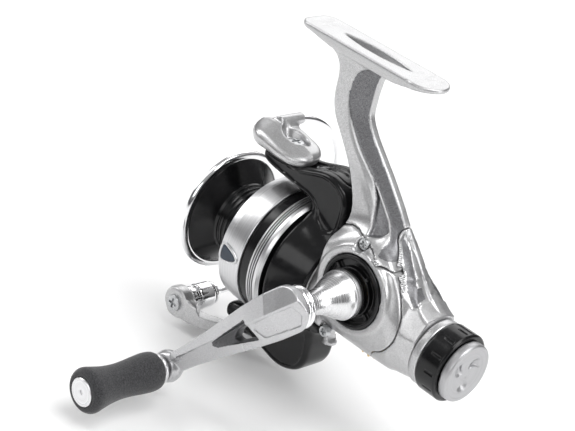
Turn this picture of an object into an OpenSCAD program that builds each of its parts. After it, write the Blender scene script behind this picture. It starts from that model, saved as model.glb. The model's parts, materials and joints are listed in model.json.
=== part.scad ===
// Spinning reel, rear drag, hanging from its foot.
// Origin: centre of the foot's flat top face. +X points to the spool and the line,
// +Y to the handle, +Z up to the rod. The spool turns about an axis along X below the foot.

/* [Foot and stem] */
// Length of the foot along the rod
foot_len = 59; // [55:0.5:64]
// Width of the foot
foot_w = 15; // [13:0.5:17]
// Thickness of the foot at its edge
foot_edge = 2.2; // [1.8:0.1:3]
// Distance from the foot's top face down to the spool axis
axis_drop = 82; // [80:0.5:86]
// Width of the stem
stem_w = 7; // [6:0.5:9]

/* [Body] */
// Radius of the black bearing cap
cap_r = 12.6; // [12:0.1:13]

/* [Crank] */
// Handle axis behind the foot's centre
crank_x = -26; // [-27:0.5:-25]
// Handle axis above the spool axis
crank_rise = 9.75; // [9.5:0.05:10]
// Distance from the handle axis to the knob's axis
crank_r = 58; // [54:0.5:64]
// Angle of the handle arm below the forward direction
crank_angle = 48; // [0:1:90]
// Length of the knob's grip
grip_len = 33; // [28:0.5:36]

/* [Gears] */
// Teeth of the drive gear
drive_teeth = 35; // [35]
// Teeth of the pinion
pinion_teeth = 8; // [8]
// Pitch radius of the drive gear's ring of teeth
drive_r = 15.2; // [15.1:0.05:15.3]
// Module of the oscillation gears
osc_module = 0.8; // [0.8]
// Teeth of the small oscillation wheel on the crank
osc_small_teeth = 14; // [14]
// Teeth of the large oscillation wheel
osc_large_teeth = 22; // [22]
// Spool stroke
stroke = 12; // [10:0.5:12]

/* [Spool and rotor] */
// Radius of the spool's front lip
lip_r = 23; // [22:0.1:24]
// Front of the lip
lip_x = 47.4; // [47:0.1:48]
// Largest radius of the spool's skirt
skirt_r = 24.2; // [24:0.1:24.4]
// Radius of the line arbor
arbor_r = 13.2; // [12:0.1:14]
// Radius of the rotor's cylinder inside the skirt
rotor_r = 21.2; // [20.8:0.1:21.4]
// Width of each rotor arm
arm_w = 15; // [13:0.5:17]
// Bail pivots ahead of the foot's centre
pivot_x = 24; // [23:0.5:25]
// Line roller ahead of the foot's centre
roller_x = 47; // [46:0.5:48]
// Line roller below the spool axis
roller_drop = 36; // [35:0.5:37]
// Thickness of the bail wire
wire_d = 1.9; // [1.6:0.1:2.2]

/* [Drag] */
// Radius of the black ribbed ring on the drag knob
drag_r = 12.5; // [12:0.1:13]
// Back face of the drag knob
drag_end_x = -68.9; // [-69:0.1:-68.5]

/* [Hidden] */
$fn = 64;
// Colours
silver = "silver";
black = "#1b1b1d";
steel = "#b9bcc0";
brass = "#c9a758";
foam = "#3a3b3e";
// Running clearance of a shaft in its hole
run = 0.04;
// Crank axis height in the row frame, and shaft radii
crank_z = crank_rise - axis_drop;
shaft_r = 1.4;
crank_shaft_r = 3;
// Pinion: the drive gear meets it this far ahead of the handle axis
mesh_dx = sqrt(drive_r * drive_r - crank_rise * crank_rise);
pinion_r = mesh_dx * pinion_teeth / drive_teeth;
tooth_up = 0.75;
tooth_down = 0.65;
// Oscillation wheels
osc_small_r = osc_module * osc_small_teeth / 2;
osc_large_r = osc_module * osc_large_teeth / 2;
osc_play = 0.2;
osc_drop = 12.25;
osc_z = crank_rise - osc_drop;
osc_dist = osc_small_r + osc_large_r + osc_play;
osc_x = crank_x - sqrt(osc_dist * osc_dist - osc_drop * osc_drop);
osc_pin_r = 1.3;
slider_x = osc_x - stroke / 2;
guide_z = -8.6;
guide_r = 0.95;
// Handle arm
arm_root_y = 41.5;
arm_lean = 4.5;
arm_tip_y = arm_root_y + crank_r * tan(arm_lean);
arm_t = 6;
knob_x = crank_x + crank_r * cos(crank_angle);
knob_z = crank_z - crank_r * sin(crank_angle);
knob_y0 = arm_tip_y + arm_t + 1;
knob_y1 = knob_y0 + grip_len;
// Bail
lever_z = 36;
bail_loop_r = 40;
bail_loop_y = -4;
bail_loop_z = 2.5;

// Places its children about the spool axis
module on_axis() translate([0, 0, -axis_drop]) children();
// Places its children about the handle axis
module on_crank() translate([crank_x, 0, crank_z]) children();
// Solid of revolution about X: points are [radius, x]
module turn_x(points) rotate([0, 90, 0]) rotate_extrude() polygon(points);
// Solid of revolution about Y: points are [radius, y]
module turn_y(points) rotate([-90, 0, 0]) rotate_extrude() polygon(points);
module rod_x(x0, x1, r) translate([x0, 0, 0]) rotate([0, 90, 0]) cylinder(h = x1 - x0, r = r);
module rod_y(y0, y1, r) translate([0, y0, 0]) rotate([-90, 0, 0]) cylinder(h = y1 - y0, r = r);
module ring_x(x0, x1, r, bore) difference() {
    rod_x(x0, x1, r);
    rod_x(x0 - 1, x1 + 1, bore);
}
module ring_y(y0, y1, r, bore) difference() {
    rod_y(y0, y1, r);
    rod_y(y0 - 1, y1 + 1, bore);
}
// Plate in the XZ plane from y0 to y1
module side_plate(points, y0, y1)
    translate([0, y1, 0]) rotate([90, 0, 0]) linear_extrude(y1 - y0) polygon(points);
// Plate in the YZ plane from x0 to x1: points are [y, z]
module cross_plate(points, x0, x1)
    translate([x0, 0, 0]) rotate([90, 0, 90]) linear_extrude(x1 - x0) polygon(points);
// Points of an arc in a plane
function arc(cx, cy, r, a0, a1, n) =
    [for (i = [0:n]) [cx + r * cos(a0 + (a1 - a0) * i / n), cy + r * sin(a0 + (a1 - a0) * i / n)]];
// Ball bearing about Y or X axis, built along Z: two races and a ring of balls
module ball_bearing(w, r, bore) {
    pitch_r = (r + bore) / 2;
    ball_r = (r - bore) * 0.26;
    difference() {
        cylinder(h = w, r = r);
        translate([0, 0, -1]) cylinder(h = w + 2, r = pitch_r + ball_r * 0.75);
    }
    difference() {
        cylinder(h = w, r = pitch_r - ball_r * 0.75);
        translate([0, 0, -1]) cylinder(h = w + 2, r = bore);
    }
    for (i = [0:7]) rotate([0, 0, 45 * i]) translate([pitch_r, 0, w / 2])
        sphere(r = ball_r * 0.72, $fn = 24);
}
// Round wire of radius r along a path that never runs straight along X
module tube(path, r, sides) {
    last = len(path) - 1;
    points = [for (i = [0:last]) let (
            d0 = path[min(i + 1, last)] - path[max(i - 1, 0)],
            d = d0 / norm(d0),
            u0 = cross([1, 0, 0], d),
            u = u0 / norm(u0),
            v = cross(d, u))
        for (k = [0:sides - 1])
            path[i] + r * (cos(360 * k / sides) * u + sin(360 * k / sides) * v)];
    faces = concat(
        [[for (k = [0:sides - 1]) k]],
        [[for (k = [0:sides - 1]) (last + 1) * sides - 1 - k]],
        [for (i = [0:last - 1], k = [0:sides - 1]) let (next = (k + 1) % sides)
            [i * sides + k, (i + 1) * sides + k, (i + 1) * sides + next, i * sides + next]]);
    polyhedron(points, faces, convexity = 6);
}
// Helical spring about X from x0 to x1
module spring_x(x0, x1, r, turns, wire_r) {
    steps = turns * 14;
    tube([for (i = [0:steps]) [x0 + (x1 - x0) * i / steps, r * cos(360 * turns * i / steps),
                               r * sin(360 * turns * i / steps)]], wire_r, 7);
}
// Spur wheel outline with plain straight-sided teeth
module wheel_outline(teeth, module_mm, fill = 0.4) {
    r = teeth * module_mm / 2;
    step = 360 / teeth;
    circle(r = r - module_mm * 1.15);
    for (i = [0:teeth - 1]) rotate(i * step) polygon([
        [(r - module_mm * 1.3) * cos(step * fill * 0.75), -(r - module_mm * 1.3) * sin(step * fill * 0.75)],
        [r * cos(step * fill / 2), -r * sin(step * fill / 2)],
        [(r + module_mm * 0.9) * cos(step * fill * 0.22), -(r + module_mm * 0.9) * sin(step * fill * 0.22)],
        [(r + module_mm * 0.9) * cos(step * fill * 0.22), (r + module_mm * 0.9) * sin(step * fill * 0.22)],
        [r * cos(step * fill / 2), r * sin(step * fill / 2)],
        [(r - module_mm * 1.3) * cos(step * fill * 0.75), (r - module_mm * 1.3) * sin(step * fill * 0.75)]
    ]);
}

// ---- Body ----
// Side view of the gearbox and rear end about the spool axis: points are [x, z]
gearbox_side = [[-9.9, -13], [-18, -15.6], [-29, -17.2], [-45, -15], [-53.6, -11.8], [-53.6, 11.8],
                [-49, 17.5], [-42, 24.5], [-31.6, 35.5], [-16, 35.5], [-10.4, 25], [-9.9, 18]];
gearbox_cavity = [[-12, -11.5], [-18, -13.6], [-29, -15.2], [-44, -13], [-47, -10], [-47, 10],
                  [-40, 23], [-33, 29.6], [-18, 29.6], [-12, 22]];
// Front view of the gearbox: points are [y, z]
gearbox_front = [[-6, -17.5], [6, -17.5], [11.5, -12], [13.5, -4], [13.5, 20], [10, 29], [3.5, 36],
                 [-3.5, 36], [-10, 29], [-13.5, 20], [-13.5, -4], [-11.5, -12]];
gearbox_room = [[-5, -15.5], [5, -15.5], [9.8, -11], [11.7, -3.5], [11.7, 19.5], [8.5, 27.5],
                [4, 30], [-4, 30], [-8.5, 27.5], [-11.7, 19.5], [-11.7, -3.5], [-9.8, -11]];
// Split between the housing and the rear cover, and between the housing and the side cover
rear_split = [[-60, -30], [-34.5, -30], [-43, -4], [-44.5, 6], [-42, 19], [-34.5, 34], [-31, 36.2],
              [-60, 36.2]];
cover_split = [[-9, -14], [-36.5, -14], [-43.2, -4], [-44.7, 6], [-42.4, 19], [-40.4, 23.2],
               [-31, 22.5], [-22, 28.5], [-9, 28.5]];
split_gap = 0.12;
split_y = 3;
// Rear end of the bush behind the pinion
bush_x = -21;
// Anti-reverse lever's axis below the spool axis
lever_drop = 12.4;
// Neck around the pinion bearing and the one-way clutch
neck_r = 10.5;
flange_r = 15.3;
neck_front = 4;
socket_r = 7;

module gearbox_shape() intersection() {
    side_plate(gearbox_side, -20, 20);
    cross_plate(gearbox_front, -60, 0);
    turn_x([[0, -54], [12.2, -53.7], [30, -33], [60, 0], [0, 0]]);
}
module gearbox_hollow() {
    intersection() {
        side_plate(gearbox_cavity, -20, 20);
        cross_plate(gearbox_room, -50, 0);
        turn_x([[0, -48], [10.4, -47], [28, -30], [60, 0], [0, 0]]);
    }
    rod_x(-48, -20, 8.6);
    // Room for the drive gear and its face teeth
    translate([crank_x, 0, crank_rise]) rod_y(-6.8, -1.9, drive_r + 1.25);
}
module crank_holes() translate([crank_x, 0, crank_rise]) {
    rod_y(-30, 30, crank_shaft_r + 1.2);
    rod_y(-12.9, -9.3, 6.5);
    rod_y(8.8, 30, 6.5);
    rod_y(11.6, 30, cap_r);
}
module body_housing() color(silver) union() {
    foot();
    stem();
    on_axis() difference() {
        union() {
            gearbox_shape();
            rod_x(-12, -4.5, flange_r);
            rod_x(-6, neck_front, neck_r);
        }
        gearbox_hollow();
        // Parts taken away by the rear cover and the side cover
        side_plate(rear_split, -20, 20);
        side_plate(cover_split, split_y, 30);
        crank_holes();
        rod_x(-12.5, -6, 4.2);
        rod_x(-6.2, neck_front + 1, socket_r);
        // Slot and bearing hole of the anti-reverse lever
        translate([-13.2, -8, -30]) cube([2.4, 16, 30 - lever_drop + 3]);
        translate([0, 0, -lever_drop]) rod_x(-17, -11, 1.1 + run);
        // Recesses of the screw heads
        for (p = screw_places) translate([p[0], 0, p[1]]) rod_y(screw_seat_y, 30, screw_head_r + 0.1);
    }
    on_axis() cover_bosses();
    // Boss of the right-hand crank bearing
    on_crank() ring_y(-11.9, -9.4, 8.2, 6);
    // Web under the pinion's rear bush
    on_axis() difference() {
        translate([bush_x + 0.2, -1.6, -15]) cube([2.6, 3.2, 13]);
        rod_x(-30, -10, 2.92);
        translate([0, 0, guide_z]) rod_x(-30, -10, guide_r);
    }
}
// Screws of the side cover: places [x, z], and the seat of each head
screw_places = [[-23.4, 25.4], [-17, -11.8]];
screw_seat_y = 10;
screw_r = 0.9;
screw_head_r = 1.9;
screw_len = 6.2;
// Bosses that the cover screws go into: one hangs from the top wall, one lies on the floor
module cover_bosses() difference() {
    union() {
        translate([screw_places[0][0] - 2.2, -2, 23.3]) cube([4.4, 8.2, 7.2]);
        translate([screw_places[1][0], 0, screw_places[1][1]]) rod_y(1.6, 6.4, screw_head_r);
    }
    for (p = screw_places) translate([p[0], 0, p[1]])
        rod_y(screw_seat_y - screw_len - 0.3, 12, screw_r + 0.01);
}
// Wedge-ended plate that the rod's seat clamps, with a lens-shaped pocket
foot_mid = foot_edge + 1.4;
foot_side = [[-foot_len / 2, 0], [foot_len / 2, 0], [foot_len / 2, -foot_edge + 0.6],
             [12, -foot_mid], [-12, -foot_mid], [-foot_len / 2, -foot_edge + 0.6]];
module foot() difference() {
    intersection() {
        translate([0, 0, -6]) linear_extrude(6) foot_outline();
        side_plate(foot_side, -foot_w, foot_w);
    }
    pocket();
}
module foot_outline() {
    corner = 4.5;
    front = foot_len / 2;
    translate([-front + foot_w / 2, 0]) circle(d = foot_w);
    translate([-front + foot_w / 2, -foot_w / 2]) square([foot_len - foot_w / 2 - corner, foot_w]);
    translate([front - corner - 0.1, -foot_w / 2 + corner]) square([corner + 0.1, foot_w - 2 * corner]);
    for (s = [-1, 1]) translate([front - corner, s * (foot_w / 2 - corner)]) circle(r = corner);
}
// Pocket where two wide circles cross
pocket_r = 52;
pocket_half_w = 2.4;
pocket_depth = 2.8;
module pocket() intersection_for (s = [-1, 1])
    translate([0, s * (pocket_r - pocket_half_w), -pocket_depth])
        cylinder(h = pocket_depth + 1, r = pocket_r);
stem_front = [[17, -3], [10.5, -8], [9.2, -14], [9, -20], [6.5, -25], [2.5, -30], [-3.5, -37],
              [-9, -45], [-12, -52], [-12, -56]];
stem_rear = [[-30, -56], [-30.5, -49], [-23, -39], [-15.4, -32], [-9.6, -25.6], [-6.2, -20.5],
             [-5.6, -12], [-8, -6], [-17, -3]];
module stem() difference() {
    side_plate(concat(stem_front, stem_rear), -stem_w / 2, stem_w / 2);
    pocket();
    // Hollow above the gear room stays clear of the gears
    on_axis() gearbox_hollow();
    on_axis() side_plate(cover_split, split_y, 30);
    on_axis() side_plate(rear_split, -20, 20);
}
module side_cover() color(silver) on_axis() difference() {
    intersection() {
        union() {
            gearbox_shape();
            // Raised round rim about the bearing cap
            translate([crank_x, 0, crank_rise]) rod_y(8, 14, cap_r + 2.2);
        }
        side_plate(cover_split, split_y + split_gap, 30);
        translate([-60, -20, -30]) cube([49.4, 60, 80]);
    }
    gearbox_hollow();
    side_plate(rear_split, -20, 20);
    rod_x(-12, -4.5, flange_r);
    // Room for the anti-reverse lever's swing
    translate([-13.6, -8, -30]) cube([3.2, 16, 30 - lever_drop + 3.6]);
    translate([crank_x, 0, crank_rise]) {
        rod_y(-30, 30, crank_shaft_r + 1.2);
        rod_y(11.2, 30, cap_r + 0.02);
        rod_y(8.1, 30, 7.62);
    }
    for (p = screw_places) translate([p[0], 0, p[1]]) {
        rod_y(2, 30, screw_r + 0.1);
        rod_y(screw_seat_y, 30, screw_head_r + 0.1);
        rod_y(2, 6.6, screw_head_r + 0.2);
    }
}
// Post of the oscillation wheel, standing on the side cover's inner face
module oscillation_post() color(steel) on_axis() translate([osc_x, 0, osc_z]) rod_y(5.6, 11.2, 1.2);
module rear_cover() color(silver) on_axis() difference() {
    intersection() {
        gearbox_shape();
        translate([-split_gap, 0, 0]) side_plate(rear_split, -20, 20);
    }
    gearbox_hollow();
    rod_x(-60, -40, 10.1);
}
module bearing_cap() color(black) on_crank() {
    // Outer ring, ribs and bearing seat
    turn_y([[cap_r - 0.03, 11.7], [cap_r - 0.03, 14.3], [cap_r - 0.5, 14.7], [cap_r - 1.6, 14.7],
            [cap_r - 2.2, 13.4], [9, 13.4], [9, 14.2], [7.6, 14.2], [7.6, 12.8], [4.4, 12.8],
            [4.4, 11.7]]);
    ring_y(8.2, 11.7, 7.6, 6.52);
}
module socket_cap() color(silver) on_crank()
    turn_y([[0, -15.6], [4.6, -15.6], [5.8, -15], [6.3, -13.6], [0, -13.6]]);
// Cross-recessed screw, head at z = 0, pointing down
module screw(head_r, head_h, shank_r, length) difference() {
    union() {
        cylinder(h = head_h, r = head_r);
        translate([0, 0, -length]) cylinder(h = length + 0.1, r = shank_r);
    }
    for (a = [0, 90]) rotate([0, 0, a]) translate([-head_r * 0.6, -0.3, head_h * 0.4])
        cube([head_r * 1.2, 0.6, head_h]);
}
module cover_screws() color(steel) on_axis()
    for (p = screw_places) translate([p[0], screw_seat_y, p[1]]) rotate([-90, 0, 0])
        screw(screw_head_r, 1.1, screw_r, screw_len);
module crank_bearing_left() color(steel) on_crank() translate([0, 8.4, 0]) rotate([-90, 0, 0])
    ball_bearing(3.1, 6.5, crank_shaft_r + run);
module crank_bearing_right() color(steel) on_crank() translate([0, -12.7, 0]) rotate([-90, 0, 0])
    ball_bearing(3.1, 5.98, crank_shaft_r + run);
module pinion_bearing() color(steel) on_axis() translate([-6, 0, 0]) rotate([0, 90, 0])
    ball_bearing(3.4, socket_r - 0.02, 3.6);
module pinion_bush() color(brass) on_axis() ring_x(bush_x, bush_x + 3, 2.9, 2 + run);
module one_way_clutch() color(steel) on_axis() {
    ring_x(-2.4, 2.9, socket_r - 0.02, 5.9);
    for (i = [0:7]) rotate([45 * i, 0, 0]) translate([0, 5.3, 0]) rod_x(-1.9, 2.4, 0.55);
}
module bearing_retainer() color(steel) on_axis() ring_x(neck_front + 0.02, neck_front + 1.2, 9.6, 5.6);
module guide_rod() color(steel) on_axis() translate([0, 0, guide_z]) rod_x(-46.58, -12, guide_r);
// ---- Drag at the rear ----
module drag_housing() color(silver) on_axis() difference() {
    union() {
        rod_x(-53.3, -46.6, 10);
        turn_x([[0, -57.6], [11.6, -57.6], [11.8, -57], [11.8, -54.4], [11.4, -53.8], [0, -53.8]]);
    }
    rod_x(-58, -47.8, 8.4);
    rod_x(-50, -40, 3.4);
}
module drag_washers() color(brass) on_axis()
    for (i = [0:2]) ring_x(-52.6 + i * 1.3, -51.8 + i * 1.3, 8.2, 3.2);
module drag_spring() color(steel) on_axis() spring_x(-57.2, -53.2, 5.6, 3, 0.5);
module drag_ring() color(black) on_axis() difference() {
    union() {
        turn_x([[0, -65.6], [10.8, -65.6], [11.8, -64.9], [11.8, -58.8], [11.4, -58.2], [0, -58.2]]);
        for (i = [0:23]) rotate([15 * i, 0, 0]) translate([-64.9, drag_r - 1.5, -1.1])
            cube([6.2, 1.5, 2.2]);
    }
    rod_x(-70, -50, 9.6);
}
module drag_cap() color(silver) on_axis() difference() {
    union() {
        turn_x([[0, drag_end_x + 0.8], [8.8, drag_end_x + 0.8], [9.4, drag_end_x],
                [9.9, drag_end_x], [10.5, drag_end_x + 0.8], [10.6, -65.7], [0, -65.7]]);
        rod_x(-65.8, -60, 9.5);
    }
    rod_x(-66.2, -50, 8.6);
    // Three shallow curved dimples
    for (i = [0:2]) rotate([120 * i, 0, 0]) translate([drag_end_x - 0.4, 0, 9.4]) rod_x(0, 1.7, 5);
}
module drag_nut() color(brass) on_axis() difference() {
    rod_x(-60.6, -57.9, 8);
    rod_x(-61, -57, 3.2);
    for (i = [0:3]) rotate([90 * i, 0, 0]) translate([-59.3, 8, 0]) cube([4, 2, 3], center = true);
}
module drag_sleeve() color(steel) on_axis() difference() {
    union() {
        rod_x(-57.4, -45.4, 2.8);
        rod_x(-48.5, -47.9, 7.6);
    }
    rod_x(-60, -40, shaft_r + run);
}
// ---- Crank ----
module drive_gear() color(brass) on_crank() {
    ring_y(-6.4, -4.3, drive_r + 0.9, crank_shaft_r - 0.5);
    rod_y(-13.2, 15.6, crank_shaft_r);
    ring_y(-9.2, -4.3, 5, crank_shaft_r - 0.5);
    // Face teeth, each lying along X where it meets the pinion
    for (i = [0:drive_teeth - 1]) rotate([0, i * 360 / drive_teeth, 0])
        translate([mesh_dx, -4.4, -crank_rise]) rotate([-90, 0, 0])
            face_tooth();
}
// Tapered bar standing on the gear's face
module face_tooth() {
    h = 4.4 - pinion_r + tooth_down - 0.25;
    cross_plate([[-0.5, 0], [0.5, 0], [0.28, h], [-0.28, h]], -0.9, 0.9);
}
module oscillation_pinion() color(steel) on_crank() rotate([-90, 0, 0]) difference() {
    translate([0, 0, 4.6]) linear_extrude(3) wheel_outline(osc_small_teeth, osc_module);
    translate([0, 0, 4]) cylinder(h = 5, r = crank_shaft_r + 0.01);
}
module crank_hub() color(silver) on_crank()
    turn_y([[0, 15.6], [4.2, 15.6], [4.2, 16.4], [7.6, 16.4], [8.3, 17], [8.3, 20], [7.8, 21.6],
            [6.6, 24.4], [5.2, 27.4], [4.3, 30.8], [4, 34], [4.2, 37.2], [0, 37.2]]);
module crank_collar() color(steel) on_crank()
    turn_y([[0, 37.22], [6.4, 37.22], [7.1, 37.7], [7.1, 38.6], [6.3, 39.1], [6.8, 39.6],
            [7.3, 40.1], [7.3, arm_root_y - 0.2], [0, arm_root_y - 0.2]]);
module handle_arm() color(silver) on_crank() rotate([0, crank_angle, 0]) difference() {
    union() {
        rod_y(arm_root_y - 0.18, arm_root_y + 7.5, 8);
        translate([0, arm_root_y, 0]) rotate([0, 0, arm_lean]) {
            side_plate([[0, -7.6], [14, -7.2], [34, -4.6], [crank_r - 4, -3], [crank_r - 4, 3],
                        [34, 4.6], [14, 7.2], [0, 7.6]], 0.7, 6.4);
        }
        translate([crank_r, 0, 0]) rod_y(arm_tip_y - 0.6, arm_tip_y + arm_t, 4.4);
    }
    // Decorative window through the arm
    translate([21, 30, 0]) side_plate([[-6, 0], [0, -2.6], [9, 0], [0, 2.6]], 0, 30);
    translate([crank_r, 0, 0]) rod_y(30, 70, 1.5);
}
module on_knob() translate([knob_x, 0, knob_z]) children();
module knob_spindle() color(steel) on_knob() {
    rod_y(arm_tip_y - 1.2, arm_tip_y - 0.65, 3);
    rod_y(arm_tip_y - 0.7, knob_y1 - 1.5, 1.5);
}
module knob_grip() color(foam) on_knob() difference() {
    turn_y([[0, knob_y0 + 2], [5.6, knob_y0 + 2], [6.3, knob_y0 + 3], [6.2, knob_y0 + 8],
            [5.7, knob_y0 + 15], [6.1, knob_y0 + 21], [7.2, knob_y0 + 27], [7.7, knob_y1 - 3],
            [7.4, knob_y1 - 1.2], [6.4, knob_y1], [0, knob_y1]]);
    rod_y(knob_y0, knob_y1 + 1, 3);
    rod_y(knob_y1 - 1.8, knob_y1 + 1, 5);
}
module knob_sleeve() color(silver) on_knob() difference() {
    union() {
        rod_y(knob_y0, knob_y0 + 1.98, 5.4);
        rod_y(knob_y0, knob_y1 - 1.82, 2.98);
    }
    rod_y(knob_y0 - 1, knob_y1 + 1, 1.5 + run);
}
module knob_end_cap() color(silver) on_knob() difference() {
    turn_y([[0, knob_y1 - 1.2], [4.98, knob_y1 - 1.2], [4.98, knob_y1 + 0.1], [4.5, knob_y1 + 0.5],
            [0, knob_y1 + 0.5]]);
    rod_y(knob_y1 - 0.2, knob_y1 + 2, 0.6);
}
// ---- Rotor ----
// Rotor arm seen from the side, about the spool axis: points are [x, z]
arm_side = [[-6.8, 18.5], [-9, 21], [-9.3, 26], [-9.2, 31], [-8, 34], [-4, 36.2], [1, 37],
            [8, 36.3], [16, 35.2], [30, 34.6], [32, 33.2], [32, 29.6], [29, 27.6],
            [9, 26.2], [4, 24], [0, 21]];
module rotor() color(black) on_axis() difference() {
    union() {
        turn_x([[3.52, 8.6], [18.6, 8.6], [19, 2.5], [16, -9.1], [17.7, -9.1], [23.2, 3.2],
                [23.2, 4.2], [rotor_r, 4.2], [rotor_r, 20.4], [19.6, 20.4], [19.6, 11], [3.52, 11]]);
        for (a = [0, 180]) rotate([a, 0, 0]) difference() {
            side_plate(arm_side, -arm_w / 2, arm_w / 2);
            rod_x(3.4, 50, skirt_r + 1.3);
            rod_x(-20, 3.41, 20);
        }
    }
    // Pivot holes and the pockets under the arm covers
    for (s = [-1, 1]) translate([pivot_x, 0, s * 30]) cylinder(h = 12, r = 1.25, center = true);
    for (a = [0, 180]) rotate([a, 0, 0]) translate([-1, -arm_w / 2 + 2, 31.4])
        cube([16, arm_w - 4, 3]);
}
module arm_cover(side) color(black) on_axis() rotate([side, 0, 0]) difference() {
    side_plate([[-5, 35], [-5.4, 36.2], [-3.5, 37.5], [1, 38.3], [8, 37.5], [9.4, 36.8], [9.4, 35]],
               -5, 5);
    side_plate([[-9, 33.4], [-4, 36.22], [1, 37.02], [8, 36.32], [16, 35.22], [16, 30], [-9, 30]], -6, 6);
}
module arm_cover_upper() arm_cover(0);
module arm_cover_lower() arm_cover(180);
module pinion() color(brass) on_axis() difference() {
    union() {
        rod_x(bush_x, -17, 2);
        translate([-17.2, 0, 0]) rotate([0, 90, 0]) linear_extrude(6.7) pinion_outline();
        rod_x(-10.6, 11, 3.5);
        rod_x(10.9, 15.6, 3.2);
    }
    rod_x(-30, 30, shaft_r + run);
}
module pinion_outline() {
    step = 360 / pinion_teeth;
    root = pinion_r - tooth_down;
    tip = pinion_r + tooth_up;
    circle(r = root);
    rotate(step / 2) for (i = [0:pinion_teeth - 1]) rotate(i * step)
        polygon([[root - 0.2, -0.62], [pinion_r, -0.42], [tip, -0.2], [tip, 0.2], [pinion_r, 0.42],
                 [root - 0.2, 0.62]]);
}
module clutch_sleeve() color(steel) on_axis() ring_x(-2.4, 8.58, 4.7, 3.52);
module rotor_nut() color(steel) on_axis() difference() {
    rotate([0, 90, 0]) translate([0, 0, 11.02]) cylinder(h = 3.2, r = 6.2, $fn = 6);
    rod_x(10, 16, 3.22);
}
module bail_spring() color(steel) on_axis() translate([0, 0, 33]) spring_x(1, 13, 1.1, 8, 0.2);
module balance_weight() color(steel) on_axis() rotate([180, 0, 0]) translate([1, -4.5, 31.6])
    cube([12, 9, 2.6]);
// ---- Bail ----
module at_pivot() on_axis() translate([pivot_x, 0, 0]) children();
module bail_lever() color(silver) at_pivot() translate([0, 0, lever_z]) difference() {
    union() {
        cylinder(h = 4.6, r = 7.2);
        linear_extrude(5.4) polygon([[0, -7], [9, -8.4], [16, -2], [15.6, 4], [10, 7], [0, 7.1]]);
        translate([10, 0, 0]) cylinder(h = 6.6, r = 6);
        // Ferrule that holds the wire
        translate([9, 0, 5.1]) rod_y(-10.5, 0, 2.1);
    }
    translate([0, 0, 2.4]) cylinder(h = 6, r = 3.2);
    translate([0, 0, -1]) cylinder(h = 6, r = 1.25);
    translate([9, 0, 5.1]) rod_y(-12, -5, wire_d / 2);
}
module bail_arm() color(silver) at_pivot() mirror([0, 0, 1]) translate([0, 0, lever_z]) difference() {
    union() {
        cylinder(h = 4, r = 7);
        linear_extrude(3.6) polygon([[0, -6.6], [13, -4.4], [20, 5], [26, 11.6], [27, 16.4], [19, 16.4],
                                     [9, 9], [0, 6.9]]);
        // Ear beside the roller
        translate([roller_x - pivot_x, 0, roller_drop - lever_z]) rod_y(11.6, 16.4, 4.2);
    }
    translate([0, 0, 2]) cylinder(h = 6, r = 3.2);
    translate([0, 0, -1]) cylinder(h = 6, r = 1.25);
    translate([roller_x - pivot_x, 0, roller_drop - lever_z]) {
        rod_y(-8, 11.58, 5.8);
        rod_y(0, 30, 1.3);
    }
}
// Wire path: from the lever's ferrule round the far side of the spool to the line roller
wire_steps = 30;
wire_start = [pivot_x + 9, -5, lever_z + 5.1];
wire_end = [roller_x, -2.6, -roller_drop];
function wire_at(t) = let (
        a = 90 + 180 * t,
        y = bail_loop_y + bail_loop_r * cos(a),
        z = bail_loop_z + bail_loop_r * sin(a),
        blend0 = pow(1 - t, 6),
        blend1 = pow(t, 6),
        x = wire_start[0] + (wire_end[0] - wire_start[0]) * (0.5 - 0.5 * cos(180 * t)))
    [x, y + blend0 * (wire_start[1] - bail_loop_y) + blend1 * (wire_end[1] - bail_loop_y),
     z + blend0 * (wire_start[2] - bail_loop_z - bail_loop_r)
       + blend1 * (wire_end[2] - bail_loop_z + bail_loop_r)];
module bail_wire() color(steel) on_axis() {
    tube([for (i = [0:wire_steps]) wire_at(i / wire_steps)], wire_d / 2, 12);
    // Cone at the roller end that guides the line
    translate([roller_x, 0, -roller_drop])
        turn_y([[0, -5.6], [1.6, -5.6], [2.8, -3.6], [4.3, -1.4], [4.3, -0.4], [0, -0.4]]);
}
module bail_screws() color(steel) {
    at_pivot() translate([0, 0, lever_z + 2.42]) screw(3, 1.4, 1.2, 8);
    at_pivot() mirror([0, 0, 1]) translate([0, 0, lever_z + 2.02]) screw(3, 1.4, 1.2, 8);
}
module at_roller() on_axis() translate([roller_x, 0, -roller_drop]) children();
module roller_screw() color(steel) at_roller() {
    rod_y(-0.38, 16.5, 1.28);
    translate([0, 16.42, 0]) rotate([-90, 0, 0]) screw(3, 1.5, 1.2, 1);
}
module line_roller() color(steel) at_roller() difference() {
    turn_y([[0, 0], [4.6, 0], [4.8, 0.6], [4, 2.4], [3.6, 5], [3.8, 8], [4.6, 10.4], [4.8, 11],
            [4.6, 11.2], [0, 11.2]]);
    rod_y(-1, 12, 2.2);
}
module roller_bush() color(black) at_roller() ring_y(0, 11.2, 2.18, 1.28 + run);
// ---- Oscillation ----
module oscillation_gear() color(brass) on_axis() translate([osc_x, 0, osc_z]) {
    difference() {
        rotate([-90, 0, 0]) translate([0, 0, 4.6]) linear_extrude(2.6)
            rotate(osc_phase) wheel_outline(osc_large_teeth, osc_module);
        rod_y(5.4, 8, 1.2 + run);
    }
    translate([-stroke / 2, 0, 0]) rod_y(4.15, 4.7, osc_pin_r);
}
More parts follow.
